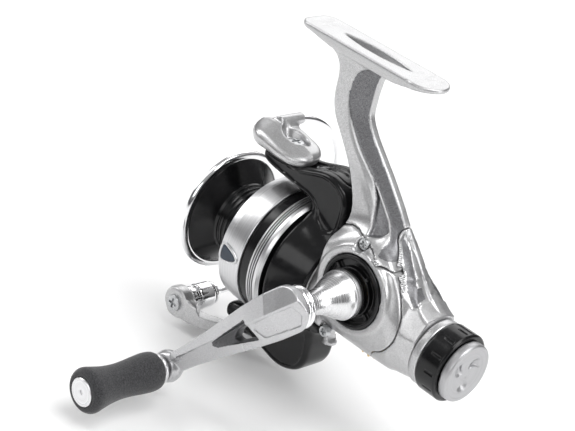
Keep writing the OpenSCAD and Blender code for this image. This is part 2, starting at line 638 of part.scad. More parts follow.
// Turns the large wheel so that one of its gaps faces a tooth of the small one
osc_phase = -atan2(osc_drop, crank_x - osc_x) * (1 + osc_small_teeth / osc_large_teeth)
    + 180 / osc_large_teeth;
module slider_block() color(brass) on_axis() difference() {
    translate([slider_x - 2.8, -1.95, -11.6]) cube([5.6, 5.75, 16.6]);
    // Upright slot for the crank pin of the oscillation wheel
    translate([slider_x - osc_pin_r - 0.1, 2.2, osc_z - stroke / 2 - osc_pin_r - 0.1])
        cube([2 * osc_pin_r + 0.2, 3, stroke + 2 * osc_pin_r + 0.2]);
    rod_x(-60, 0, shaft_r + run);
    translate([0, 0, guide_z]) rod_x(-60, 0, guide_r + run);
}
module shaft_collars() color(steel) on_axis() translate([slider_x, 0, 0]) {
    ring_x(-3.5, -2.85, 2.05, shaft_r);
    ring_x(2.85, 3.5, 2.05, shaft_r);
}
// ---- Spool ----
module main_shaft() color(steel) on_axis() rod_x(-65, 40, shaft_r);
module spool_body() color(black) on_axis() difference() {
    turn_x([[0, 22], [4, 22], [4, 37.4], [11.2, 37.4], [11.6, 25], [11.6, 23.4], [22.2, 23.4],
            [22.4, 5], [23.4, 5], [23.4, 25], [arbor_r, 25.2], [arbor_r, 39.6], [20.4, 45],
            [20.4, 46.6], [12.6, 41.4], [6.6, 41.4], [6.6, 43.6], [0, 43.6]]);
    rod_x(10, 40, shaft_r);
    rod_x(39, 50, 4.4);
    rod_x(38, 50, 1.6);
    // Grooves round the arbor
    for (i = [0:5]) ring_x(27.4 + 2 * i, 28 + 2 * i, arbor_r + 1, arbor_r - 0.3);
}
module spool_lip() color(steel) on_axis()
    turn_x([[20.42, 44.9], [21.3, 45], [22.6, 45.4], [lip_r, 46.2], [lip_r, 46.9],
            [22.5, lip_x], [21.4, lip_x], [20.42, 46.7]]);
module skirt_band_front() color(silver) on_axis() difference() {
    turn_x([[23.42, 15], [skirt_r, 15], [24.1, 22], [23.8, 25.1], [23.42, 25.1]]);
    at_clip() linear_extrude(4) clip_outline(1.1);
}
module skirt_band_rear() color(silver) on_axis() difference() {
    turn_x([[23.42, 5], [23.6, 5], [24, 6], [skirt_r, 10.6], [23.42, 10.6]]);
    for (i = [0:2]) ring_x(8.2 + 0.8 * i, 8.5 + 0.8 * i, 26, 23.8);
}
// Line clip: a rounded triangle set into the skirt, its point to the rear
module at_clip() translate([20.6, 23.42, 0]) rotate([-90, 0, 0]) children();
module clip_outline(corner_r) polygon(concat(
    arc(-2.6, 0, corner_r, 120, 240, 6), arc(2, -1.8, corner_r, 240, 360, 6),
    arc(2, 1.8, corner_r, 0, 120, 6)));
module line_clip() color("#2c3440") on_axis() at_clip() difference() {
    linear_extrude(1.5) clip_outline(1);
    // Slot that the line slides under
    translate([-0.6, -4, 0.5]) cube([4.6, 8, 0.4]);
}
module click_wheel() color(brass) on_axis() difference() {
    rotate([0, 90, 0]) translate([0, 0, 25.2]) linear_extrude(1.2) wheel_outline(24, 0.6, 0.5);
    rod_x(24, 28, 4.02);
}
module spool_button() color(silver) on_axis()
    turn_x([[3.1, 41.6], [4, 41.6], [4, 45], [3.4, 45.8], [0, 46], [0, 43.9], [3.1, 43.9]]);
module button_spring() color(steel) on_axis() spring_x(40.4, 43.5, 2.5, 3, 0.22);
module anti_reverse_lever() color(silver) on_axis() translate([0, 0, -lever_drop]) {
    rod_x(-16.5, -11.2, 1.1);
    rod_x(-12.8, -11.2, 2);
    translate([-12.8, -2.4, -9.4]) cube([1.6, 4.8, 8.6]);
    // Bent tab for the finger
    translate([-15, -2.4, -9.4]) cube([3.8, 4.8, 1.4]);
}

body_housing();
side_cover();
rear_cover();
bearing_cap();
socket_cap();
cover_screws();
crank_bearing_left();
crank_bearing_right();
pinion_bearing();
pinion_bush();
one_way_clutch();
bearing_retainer();
guide_rod();
oscillation_post();
drag_housing();
drag_washers();
drag_spring();
drive_gear();
oscillation_pinion();
crank_hub();
crank_collar();
handle_arm();
knob_spindle();
knob_grip();
knob_sleeve();
knob_end_cap();
rotor();
arm_cover_upper();
arm_cover_lower();
pinion();
clutch_sleeve();
rotor_nut();
bail_spring();
balance_weight();
bail_lever();
bail_arm();
bail_wire();
bail_screws();
roller_screw();
line_roller();
roller_bush();
oscillation_gear();
slider_block();
shaft_collars();
main_shaft();
spool_body();
spool_lip();
skirt_band_front();
skirt_band_rear();
line_clip();
click_wheel();
drag_sleeve();
spool_button();
button_spring();
drag_ring();
drag_cap();
drag_nut();
anti_reverse_lever();
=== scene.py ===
"""Looks of a rear-drag spinning reel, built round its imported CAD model.

Shapes are worked out in millimetres about the spool axis: +X to the line, +Y to the handle, +Z to the rod.
Castings are smooth distance fields skinned into meshes; turned pieces are lathed profiles.
"""
import functools
import json
import math

import bmesh
import bpy
import numpy as np
from mathutils import Matrix, Vector


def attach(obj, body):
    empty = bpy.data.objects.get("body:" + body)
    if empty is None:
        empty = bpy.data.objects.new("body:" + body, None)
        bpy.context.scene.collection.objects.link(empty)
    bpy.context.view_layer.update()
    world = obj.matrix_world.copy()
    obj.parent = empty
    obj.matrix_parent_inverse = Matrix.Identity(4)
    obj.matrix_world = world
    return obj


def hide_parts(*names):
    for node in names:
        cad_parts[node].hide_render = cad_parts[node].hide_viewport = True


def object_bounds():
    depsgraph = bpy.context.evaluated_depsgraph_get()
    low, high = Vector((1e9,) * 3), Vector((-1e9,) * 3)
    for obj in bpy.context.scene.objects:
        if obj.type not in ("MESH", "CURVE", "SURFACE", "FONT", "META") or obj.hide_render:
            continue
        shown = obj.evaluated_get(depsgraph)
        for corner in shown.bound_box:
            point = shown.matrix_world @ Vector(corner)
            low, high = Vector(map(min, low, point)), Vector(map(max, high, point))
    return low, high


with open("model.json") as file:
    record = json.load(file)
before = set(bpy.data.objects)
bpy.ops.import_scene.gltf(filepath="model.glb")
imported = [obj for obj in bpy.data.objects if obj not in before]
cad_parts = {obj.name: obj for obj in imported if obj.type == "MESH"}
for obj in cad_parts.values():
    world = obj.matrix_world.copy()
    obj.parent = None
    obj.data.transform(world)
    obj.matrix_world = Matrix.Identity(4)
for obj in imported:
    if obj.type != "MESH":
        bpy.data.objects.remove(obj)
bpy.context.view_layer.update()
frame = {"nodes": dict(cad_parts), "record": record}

AXIS_Z = -82.0
MM = 0.001
CRANK = (-26.0, 9.75)
CRANK_R = 58.0
CRANK_ANGLE = 48.0
PIVOT_X = 24.0
ROLLER = (47.0, -36.0)

# ---------------- camera and light


def add_camera():
    data = bpy.data.cameras.new("camera")
    data.lens = 104.29
    data.sensor_width = 36.0
    data.clip_start = 0.01
    data.clip_end = 20.0
    camera = bpy.data.objects.new("camera", data)
    right = Vector((-0.6759, -0.7027, 0.2220))
    up = Vector((0.4608, -0.1679, 0.8715))
    back = Vector((-0.5752, 0.6913, 0.4373))
    turn = Matrix((right, up, back)).transposed().to_4x4()
    camera.matrix_world = Matrix.Translation((-0.311886, 0.398466, 0.181361)) @ turn
    bpy.context.scene.collection.objects.link(camera)
    bpy.context.scene.camera = camera


def add_area_light(name, place, target, size, watts):
    data = bpy.data.lights.new(name, "AREA")
    data.shape = "RECTANGLE"
    data.size, data.size_y = size
    data.energy = watts
    light = bpy.data.objects.new(name, data)
    light.location = place
    light.rotation_euler = (Vector(target) - Vector(place)).to_track_quat("-Z", "Y").to_euler()
    bpy.context.scene.collection.objects.link(light)


def set_ramp(ramp, *stops):
    for element, (position, colour) in zip(ramp.color_ramp.elements, stops):
        element.position = position
        element.color = (*colour, 1)


def add_world():
    world = bpy.data.worlds.new("studio")
    bpy.context.scene.world = world
    world.use_nodes = True
    nodes, links = world.node_tree.nodes, world.node_tree.links
    nodes.clear()
    out = nodes.new("ShaderNodeOutputWorld")
    shade = nodes.new("ShaderNodeBackground")
    shade.inputs["Strength"].default_value = 0.42
    ramp = nodes.new("ShaderNodeValToRGB")
    set_ramp(ramp, (0.50, (0.16, 0.16, 0.17)), (0.90, (1, 1, 1)))
    place = nodes.new("ShaderNodeTexCoord")
    split = nodes.new("ShaderNodeSeparateXYZ")
    lift = nodes.new("ShaderNodeMath")
    lift.operation = "MULTIPLY_ADD"
    lift.inputs[1].default_value = 0.5
    lift.inputs[2].default_value = 0.5
    links.new(place.outputs["Generated"], split.inputs[0])
    links.new(split.outputs["Z"], lift.inputs[0])
    links.new(lift.outputs[0], ramp.inputs["Fac"])
    links.new(ramp.outputs["Color"], shade.inputs["Color"])
    links.new(shade.outputs[0], out.inputs["Surface"])


# ---------------- materials


class Nodes:
    """Short hand for building one node material."""

    def __init__(self, name):
        self.material = bpy.data.materials.new(name)
        self.material.use_nodes = True
        self.tree = self.material.node_tree
        self.tree.nodes.clear()
        self.out = self.add("ShaderNodeOutputMaterial")
        self.shader = self.add("ShaderNodeBsdfPrincipled")
        self.link(self.shader.outputs[0], self.out.inputs["Surface"])
        self.where = self.add("ShaderNodeTexCoord").outputs["Object"]

    def add(self, kind):
        return self.tree.nodes.new(kind)

    def link(self, a, b):
        self.tree.links.new(a, b)

    def set(self, **values):
        for key, value in values.items():
            self.shader.inputs[key.replace("_", " ")].default_value = value

    def noise(self, size_mm, detail=3.0, where=None):
        n = self.add("ShaderNodeTexNoise")
        n.inputs["Scale"].default_value = 1000.0 / size_mm
        n.inputs["Detail"].default_value = detail
        self.link(where or self.where, n.inputs["Vector"])
        return n.outputs["Fac"]

    def spread(self, value, low, high, start=0.3, end=0.7):
        m = self.add("ShaderNodeMapRange")
        for key, number in (("From Min", start), ("From Max", end), ("To Min", low), ("To Max", high)):
            m.inputs[key].default_value = number
        self.link(value, m.inputs["Value"])
        return m.outputs["Result"]

    def colours(self, value, dark, light, start=0.3, end=0.7):
        ramp = self.add("ShaderNodeValToRGB")
        set_ramp(ramp, (start, dark), (end, light))
        self.link(value, ramp.inputs["Fac"])
        self.link(ramp.outputs["Color"], self.shader.inputs["Base Color"])

    def rough(self, value, low, high):
        self.link(self.spread(value, low, high), self.shader.inputs["Roughness"])

    def bump(self, height, strength, distance_mm):
        b = self.add("ShaderNodeBump")
        b.inputs["Strength"].default_value = strength
        b.inputs["Distance"].default_value = distance_mm * MM
        self.link(height, b.inputs["Height"])
        self.link(b.outputs["Normal"], self.shader.inputs["Normal"])

    def rings(self, centre_mm, axis):
        """Coordinates that are the same all round an axis: distance along it and from it."""
        move = self.add("ShaderNodeVectorMath")
        move.operation = "SUBTRACT"
        move.inputs[1].default_value = [c * MM for c in centre_mm]
        self.link(self.where, move.inputs[0])
        split = self.add("ShaderNodeSeparateXYZ")
        self.link(move.outputs[0], split.inputs[0])
        flat = self.add("ShaderNodeCombineXYZ")
        others = [a for a in "XYZ" if a != axis]
        for a in others:
            self.link(split.outputs[a], flat.inputs[a])
        far = self.add("ShaderNodeVectorMath")
        far.operation = "LENGTH"
        self.link(flat.outputs[0], far.inputs[0])
        joined = self.add("ShaderNodeCombineXYZ")
        self.link(split.outputs[axis], joined.inputs["X"])
        self.link(far.outputs["Value"], joined.inputs["Y"])
        return joined.outputs[0]


def satin_paint(name, dark, light, roughness=0.36):
    """Silver paint with fine metal flakes and a slight orange peel."""
    m = Nodes(name)
    m.set(Metallic=0.82, Roughness=roughness, Coat_Weight=0.25, Coat_Roughness=0.22)
    flakes = m.noise(0.22, 2.0)
    m.colours(flakes, dark, light, 0.32, 0.68)
    m.rough(m.noise(6.0), roughness - 0.04, roughness + 0.06)
    m.bump(m.noise(0.35, 4.0), 0.12, 0.06)
    return m.material


def turned_metal(name, colour, roughness, centre, axis, marks=0.35):
    """Metal turned on a lathe: fine rings round its axis."""
    m = Nodes(name)
    m.set(Metallic=1.0)
    rings = m.noise(0.35, 5.0, m.rings(centre, axis))
    m.colours(rings, [c * 0.82 for c in colour], colour)
    m.rough(rings, roughness - 0.05, roughness + 0.10)
    m.bump(rings, marks, 0.02)
    return m.material


def chrome(name, colour=(0.86, 0.86, 0.87), roughness=0.07):
    """Polished plating with faint smears."""
    m = Nodes(name)
    m.set(Metallic=1.0)
    smears = m.noise(5.0, 6.0)
    m.colours(smears, [c * 0.93 for c in colour], colour)
    m.rough(smears, roughness, roughness + 0.09)
    m.bump(m.noise(1.2, 2.0), 0.04, 0.02)
    return m.material


def gloss_plastic(name, colour=(0.006, 0.006, 0.0065), roughness=0.13):
    """Moulded black plastic: glossy, with slight flow waves and dust-fine wear."""
    m = Nodes(name)
    m.set(Specular_IOR_Level=0.32)
    flow = m.noise(9.0, 4.0)
    m.colours(flow, [c * 0.7 for c in colour], [c * 1.5 for c in colour])
    m.rough(m.noise(2.0, 6.0), roughness, roughness + 0.12)
    m.bump(m.noise(4.0, 3.0), 0.06, 0.05)
    return m.material


def matt_plastic(name, colour, roughness=0.42):
    m = Nodes(name)
    m.colours(m.noise(3.0, 4.0), [c * 0.85 for c in colour], [c * 1.15 for c in colour])
    m.rough(m.noise(1.0), roughness - 0.05, roughness + 0.08)
    m.bump(m.noise(0.3, 4.0), 0.15, 0.04)
    return m.material


def foam(name):
    """Closed-cell foam: matt charcoal with tiny pits."""
    m = Nodes(name)
    m.set(Sheen_Weight=0.25, Sheen_Roughness=0.5, Specular_IOR_Level=0.25)
    cells = m.add("ShaderNodeTexVoronoi")
    cells.inputs["Scale"].default_value = 1000.0 / 0.45
    m.link(m.where, cells.inputs["Vector"])
    m.colours(m.noise(0.5, 5.0), (0.016, 0.016, 0.018), (0.055, 0.055, 0.058))
    m.rough(m.noise(1.5), 0.78, 0.95)
    m.bump(cells.outputs["Distance"], 0.45, 0.12)
    return m.material


# ---------------- distance fields


def spline(points, per=8):
    """Open Catmull-Rom curve through the points."""
    p = np.array([points[0], *points, points[-1]], float)
    out = []
    for i in range(1, len(p) - 2):
        for t in np.arange(per) / per:
            a, b, c, d = p[i - 1 : i + 3]
            square, cube = (2 * a - 5 * b + 4 * c - d) * t**2, (3 * b - a - 3 * c + d) * t**3
            out.append(0.5 * (2 * b + (c - a) * t + square + cube))
    return [tuple(q) for q in out] + [tuple(p[-1])]


def loop(points, per=8):
    """Closed Catmull-Rom curve through the points."""
    n = len(points)
    ring = [points[(i - 1) % n] for i in range(n + 3)]
    return spline(ring, per)[per:-per - 1]


def segment_distances(u, v, points, closed):
    """Distance to a polyline, and whether a point is inside it (closed only)."""
    u, v = np.broadcast_arrays(u, v)
    best = np.full(u.shape, 1e9)
    inside = np.zeros(u.shape, bool)
    ends = points[1:] + points[:1] if closed else points[1:]
    for (ax, ay), (bx, by) in zip(points, ends):
        ex, ey = bx - ax, by - ay
        t = np.clip(((u - ax) * ex + (v - ay) * ey) / (ex * ex + ey * ey + 1e-12), 0, 1)
        best = np.minimum(best, (u - ax - t * ex) ** 2 + (v - ay - t * ey) ** 2)
        if closed and ay != by:
            crosses = (ay > v) != (by > v)
            inside ^= crosses & (u < ex * (v - ay) / ey + ax)
    return np.sqrt(best), inside


def outline(u, v, points):
    """Signed distance to a closed outline, negative inside."""
    far, inside = segment_distances(u, v, list(points), True)
    return np.where(inside, -far, far)


def join(a, b, k=0.0):
    """Union, blended over k millimetres."""
    if k <= 0:
        return np.minimum(a, b)
    h = np.maximum(k - np.abs(a - b), 0) / k
    return np.minimum(a, b) - h * h * k / 4


def meet(a, b, k=0.0):
    """Intersection, blended over k millimetres."""
    return -join(-a, -b, k)


def cut(a, b, k=0.0):
    """a without b."""
    return meet(a, -b, k)


def rod(u, v, w, r, low, high):
    """Cylinder along w between low and high."""
    return np.maximum(np.sqrt(u * u + v * v) - r, np.maximum(low - w, w - high))


def block(x, y, z, low, high):
    return np.maximum.reduce(np.broadcast_arrays(
        low[0] - x, x - high[0], low[1] - y, y - high[1], low[2] - z, z - high[2]))


def step_up(value, width):
    """0 below zero, 1 above width, smooth between."""
    t = np.clip(value / width, 0, 1)
    return t * t * (3 - 2 * t)


def grid(low, high, step):
    axes = [np.arange(a, b + step, step) for a, b in zip(low, high)]
    return np.meshgrid(*axes, indexing="ij", sparse=True)


def skin(field, xyz):
    """Closed quad mesh of a field's zero level, by surface nets."""
    start = [a.ravel()[0] for a in xyz]
    step = xyz[0].ravel()[1] - xyz[0].ravel()[0]
    field = np.array(np.broadcast_to(field, np.broadcast_shapes(*[a.shape for a in xyz])))
    for axis in range(3):
        edge = [slice(None)] * 3
        for side in (0, -1):
            edge[axis] = side
            field[tuple(edge)] = np.maximum(field[tuple(edge)], 0.01)
    _, ny, nz = field.shape
    cells, crossings, quads_flipped = [], [], []
    for axis in range(3):
        one, two = [slice(None)] * 3, [slice(None)] * 3
        one[axis], two[axis] = slice(None, -1), slice(1, None)
        a, b = field[tuple(one)], field[tuple(two)]
        at = np.argwhere((a < 0) != (b < 0))
        fa, fb = a[tuple(at.T)], b[tuple(at.T)]
        point = at.astype(float)
        point[:, axis] += fa / (fa - fb)
        p, q = (axis + 1) % 3, (axis + 2) % 3
        around = []
        for dp, dq in ((0, 0), (-1, 0), (-1, -1), (0, -1)):
            cell = at.copy()
            cell[:, p] += dp
            cell[:, q] += dq
            around.append((cell[:, 0] * ny + cell[:, 1]) * nz + cell[:, 2])
        cells.append(np.stack(around, 1))
        crossings.append(point)
        quads_flipped.append(fa >= 0)
    cells = np.concatenate(cells)
    crossings = np.repeat(np.concatenate(crossings), 4, axis=0)
    flipped = np.concatenate(quads_flipped)
    _, index = np.unique(cells.ravel(), return_inverse=True)
    count = np.bincount(index)
    points = np.stack([np.bincount(index, crossings[:, i]) / count for i in range(3)], 1)
    quads = index.reshape(-1, 4)
    quads[flipped] = quads[flipped][:, ::-1]
    return points * step + start, quads


# ---------------- meshes


def rotation(degrees, axis, size=4):
    return Matrix.Rotation(math.radians(degrees), size, axis)


def make(name, points, faces, material, matrix=None, smooth=True, thin=None):
    """Mesh object from points in millimetres about the spool axis. thin is a decimation ratio."""
    points = np.asarray(points, float)
    if matrix is not None:
        turn = np.array(matrix)
        points = points @ turn[:3, :3].T + turn[:3, 3]
    points = points * MM + np.array([0, 0, AXIS_Z * MM])
    mesh = bpy.data.meshes.new(name)
    mesh.from_pydata(points.tolist(), [], [list(map(int, f)) for f in faces])
    mesh.update()
    if smooth:
        mesh.polygons.foreach_set("use_smooth", [True] * len(mesh.polygons))
    mesh.materials.append(material)
    obj = bpy.data.objects.new(name, mesh)
    bpy.context.scene.collection.objects.link(obj)
    if thin:
        bpy.context.view_layer.objects.active = obj
        less = obj.modifiers.new("thin", "DECIMATE")
        less.ratio = thin
        bpy.ops.object.select_all(action="DESELECT")
        obj.select_set(True)
        bpy.ops.object.modifier_apply(modifier="thin")
    return obj


def cast(name, field, xyz, material, matrix=None, thin=None):
    points, quads = skin(field, xyz)
    return make(name, points, quads, material, matrix, thin=thin)


def second_coat(obj, material, wanted):
    """Gives a second material to the faces whose centres wanted(x, y, z) picks, in millimetres."""
    mesh = obj.data
    mesh.materials.append(material)
    centres = np.zeros(len(mesh.polygons) * 3)
    mesh.polygons.foreach_get("center", centres)
    x, y, z = (centres.reshape(-1, 3) / MM - [0, 0, AXIS_Z]).T
    mesh.polygons.foreach_set("material_index", wanted(x, y, z).astype(int))
    mesh.update()
    return obj


def soften(profile, r=0.3, steps=4):
    """Rounds the corners of a closed profile."""
    out = []
    n = len(profile)
    for i in range(n):
        a, b, c = (np.array(profile[(i + k) % n], float) for k in (-1, 0, 1))
        one, two = a - b, c - b
        la, lb = np.linalg.norm(one), np.linalg.norm(two)
        if b[0] < 1e-6 or la < 1e-9 or lb < 1e-9:
            out.append(tuple(b))
            continue
        reach = min(r, 0.45 * la, 0.45 * lb)
        p, q = b + one / la * reach, b + two / lb * reach
        for k in range(steps + 1):
            t = k / steps
            out.append(tuple((1 - t) ** 2 * p + 2 * t * (1 - t) * b + t * t * q))
    return out


def lathe(name, profile, material, axis="x", centre=(0, 0, 0), r=0.3, parts=128, shape=None):
    """Turns a closed profile of [radius, along] round an axis. shape may change each radius."""
    ring = soften(profile, r)
    points, faces = [], []
    for j in range(parts):
        angle = 2 * math.pi * j / parts
        for radius, along in ring:
            if shape:
                radius = shape(angle, radius, along)
            u, v = radius * math.cos(angle), radius * math.sin(angle)
            p = (along, u, v) if axis == "x" else (v, along, u)
            points.append([p[i] + centre[i] for i in range(3)])
    n = len(ring)
    for j in range(parts):
        k = (j + 1) % parts
        for i in range(n):
            m = (i + 1) % n
            faces.append([j * n + i, k * n + i, k * n + m, j * n + m])
    obj = make(name, points, faces, material)
    tidy = bmesh.new()
    tidy.from_mesh(obj.data)
    bmesh.ops.remove_doubles(tidy, verts=tidy.verts, dist=1e-7)
    bmesh.ops.dissolve_degenerate(tidy, edges=tidy.edges, dist=1e-7)
    bmesh.ops.recalc_face_normals(tidy, faces=tidy.faces)
    tidy.to_mesh(obj.data)
    tidy.free()
    return obj


def bar_profile(r, low, high):
    return [(0, low), (r, low), (r, high), (0, high)]


def tube(name, path, radius, material, sides=20):
    """Round wire along a path of points, with closed ends."""
    path = np.array(path, float)
    points, faces = [], []
    side = None
    for i in range(len(path)):
        d = path[min(i + 1, len(path) - 1)] - path[max(i - 1, 0)]
        d /= np.linalg.norm(d)
        if side is None:
            side = np.cross(d, [1, 0, 0])
        side = side - d * side.dot(d)
        side /= np.linalg.norm(side)
        other = np.cross(d, side)
        for k in range(sides):
            a = 2 * math.pi * k / sides
            points.append(path[i] + radius * (math.cos(a) * side + math.sin(a) * other))
    for i in range(len(path) - 1):
        for k in range(sides):
            m = (k + 1) % sides
            faces.append([i * sides + k, i * sides + m, (i + 1) * sides + m, (i + 1) * sides + k])
    faces.append(list(range(sides))[::-1])
    faces.append([(len(path) - 1) * sides + k for k in range(sides)])
    return make(name, points, faces, material)


def merge(name, objects):
    """Joins several meshes into one piece."""
    bpy.ops.object.select_all(action="DESELECT")
    for o in objects:
        o.select_set(True)
    bpy.context.view_layer.objects.active = objects[0]
    bpy.ops.object.join()
    objects[0].name = name
    return objects[0]


def place(obj, body, slot, *nodes):
    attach(obj, body)
    if nodes:
        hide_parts(*nodes)


def screw_head(name, centre, matrix, head_r, head_h, material):
    """Domed cross-recessed head. In its own frame the head stands up along Z from z = 0."""
    x, y, z = grid((-head_r - 0.6, -head_r - 0.6, -1.4), (head_r + 0.6, head_r + 0.6, head_h + 0.8), 0.14)
    r = np.sqrt(x * x + y * y)
    dome = z - head_h + 0.07 * r * r * head_h / head_r
    head = meet(np.maximum(r - head_r, -z - 1.0), dome, 0.35)
    slot = 0.17 * head_r * (1 + 0.25 * (z - head_h))
    deep = head_h * 0.35 - z
    for a, b in ((x, y), (y, x)):
        arm = np.maximum.reduce(np.broadcast_arrays(np.abs(a) - head_r * 0.62, np.abs(b) - slot, deep))
        head = cut(head, arm, 0.12)
    turn = Matrix.Translation(centre) @ matrix.to_4x4()
    return cast(name, head, (x, y, z), material, turn)


# ---------------- body castings

STEM_FRONT = spline([(-12, 18), (-12.2, 26), (-10.6, 33), (-6.2, 40.6), (-1.6, 46.6), (3.1, 52.2),
    (6.8, 56.6), (8.8, 60.6), (9.6, 65), (9.8, 69.5), (10.8, 73.5), (13.8, 76.6), (19, 78.8)])
STEM_REAR = spline([(-8.8, 79.2), (-6.2, 77), (-4.9, 73), (-4.6, 66), (-5.1, 60.6), (-8.2, 56.3),
    (-12.1, 52.4), (-19.8, 45.3), (-27, 38), (-31.2, 32.8), (-35.2, 27.8), (-39.4, 23), (-43.3, 18.8),
    (-46.7, 15.4), (-50.7, 12.4), (-54.4, 10.8)])
CREST = spline([(4.1, 66.3), (2.6, 61.6), (-0.2, 56.8), (-6, 50.2), (-14.9, 42.9), (-19.7, 38.7),
    (-24.5, 33.8), (-27.6, 29.4), (-29.6, 25), (-30.8, 20.5)])
PANEL = ([(-62, 19.5), (-62, 60), (-9, 78)] + spline([(-9, 78), (-2, 77.2), (2.2, 74.6), (3.8, 70.4),
    (4.1, 66.3)]) + CREST)
WEDGE = [(-15, 43.4), (-18.6, 38.3), (-21.2, 31.5), (-22.8, 27.8), (-26.0, 28.6), (-26.9, 30.2),
    (-24.1, 33.8), (-19.5, 38.6)]
BODY_BOTTOM = spline([(-60, -11.6), (-53.6, -12), (-47, -13.4), (-40, -14.8), (-29, -15.8), (-18, -15.2),
    (-9.9, -13.1), (2, -9)])
BODY_TOP = spline([(2, 16), (-9.9, 21), (-16, 25.8), (-23, 26.4), (-29, 22.4), (-34, 18), (-39, 14.4),
    (-44, 12.8), (-50, 12.2), (-60, 11.6)])
FAR_TOP = spline([(2, 16), (-9.9, 22), (-16, 28), (-24, 30.6), (-31, 29), (-38, 23), (-44, 17.6),
    (-50, 13.4), (-60, 11.6)])
BODY_FRONT = loop([(0, -15.9), (3.5, -14.2), (7.2, -11.4), (10.4, -7.8), (12.7, -2.4), (13.6, 4),
    (13.5, 14), (12.4, 21.5), (9.2, 28), (4.6, 33), (0, 34.6), (-4.6, 33), (-9.2, 28), (-12.4, 21.5),
    (-13.5, 14), (-13.6, 4), (-13.0, -6), (-10.8, -12.4), (-6.4, -15.7)], 6)
REAR_SPLIT = ([(-70, -30), (-34.0, -30)] + spline([(-33.6, -18), (-37.2, -8.5), (-42.4, -4.2),
    (-45.4, -0.2), (-46.6, 4.3), (-45.7, 9.1), (-44, 13), (-42, 16.5), (-38.2, 21.6), (-35.2, 24.4),
    (-32.5, 27.1), (-30.3, 29.4), (-29.8, 31.4), (-31.0, 33.6), (-34.6, 37.6)]) + [(-44, 46), (-70, 46)])
COVER_SPLIT = [(-9, -14.2), (-36.5, -14.2), (-60, -14.2), (-60, 21.7), (-38.2, 21.7), (-35.8, 22.4),
    (-32.4, 22.6), (-29.6, 23.9), (-26.9, 25.3), (-21.3, 27.3), (-18.4, 27.8), (-14.6, 27.6),
    (-11.4, 26.0), (-9, 24)]
REAR_PANEL = [(-31.2, 32.2), (-35.2, 28.0), (-40.9, 22.2), (-45.7, 16.8), (-48.4, 14.2), (-46.7, 13.6),
    (-42.4, 17.2), (-38.9, 21.5), (-34.1, 26.2), (-31.2, 29.2)]
CAVITY = [(-12, -11.5), (-18, -13.6), (-29, -15.2), (-44, -13), (-47, -10), (-47, 10), (-40, 23),
    (-33, 29.6), (-18, 29.6), (-12, 22)]
ROOM = [(-5, -14.2), (1, -13.6), (5.6, -10.6), (9.0, -7.0), (11.4, -1.5), (11.7, 19.5), (8.5, 27.5),
    (4, 30), (-4, 30), (-8.5, 27.5), (-11.7, 19.5), (-11.7, -3.5), (-9.8, -10.6)]
SCREW_PLACES = [(-23.4, 25.4), (-17, -11.8)]
SEAM = 0.13
FOOT_Z = 82.0


def lens_pocket(x, y, z):
    """Lens-shaped pocket in the foot's flat face."""
    lens = np.maximum(np.hypot(x, y - 49.6), np.hypot(x, y + 49.6)) - 52
    return np.maximum(lens, FOOT_Z - 2.8 - z)


def foot_field(x, y, z):
    """The plate that the rod's seat clamps, with its pocket and the small raised grips at both ends."""
    half, corner = 29.5, 4.5
    plan = join(np.sqrt((x + half - 7.5) ** 2 + y * y) - 7.5,
        np.maximum(np.abs(x - 1.5) - (half - 6 - corner / 2), np.abs(y) - 7.5))
    nose_x = np.maximum(x - (half - corner), 0)
    nose_y = np.maximum(np.abs(y) - (7.5 - corner), 0)
    nose = np.maximum(np.sqrt(nose_x ** 2 + nose_y ** 2) - corner, 0 - x)
    plan = join(plan, np.maximum(nose, np.abs(y) - 7.5))
    under = FOOT_Z - 1.7 - 2.1 * step_up(half - np.abs(x), 19)
    plate = meet(np.maximum(plan, x - half), np.maximum(z - FOOT_Z, under - z), 0.7)
    plate = cut(plate, lens_pocket(x, y, z), 0.3)
    grips = np.full(np.broadcast_shapes(x.shape, y.shape), 1e3)
    for gx in (-25.5, -21.2, -17.4, 17.4, 21.2, 25.0):
        for gy in ((-3.1, 3.1) if abs(gx) > 18 else (0,)):
            oval = np.hypot((x - gx) / 1.25, (y - gy) / (2.1 if gy else 3.0)) - 1
            grips = np.minimum(grips, np.abs(oval) * 1.25 - 0.2)
    return cut(plate, np.maximum(grips, FOOT_Z - 0.14 - z), 0.1)


def stem_field(x, y, z):
    """Stem with its flat rear face, sloping sides and recessed side panels."""
    edge = STEM_FRONT + [(19, 81), (-8.8, 81)] + STEM_REAR + [(-56, 8), (-12, 8)]
    side = outline(x, z, edge)
    rear_depth, _ = segment_distances(x, z, STEM_REAR, False)
    panel = -outline(x, z, PANEL)
    half = 2.0 + 0.36 * np.minimum(rear_depth, 7) - 0.55 * step_up(panel - 0.2, 0.6)
    half = half + 1.8 * step_up(34 - z, 18)
    flare = 2.6 * step_up(48 - z, 26)
    front_share = step_up(-panel, 5)
    half = half + flare * front_share
    return meet(side, np.abs(y) - half, 0.5)


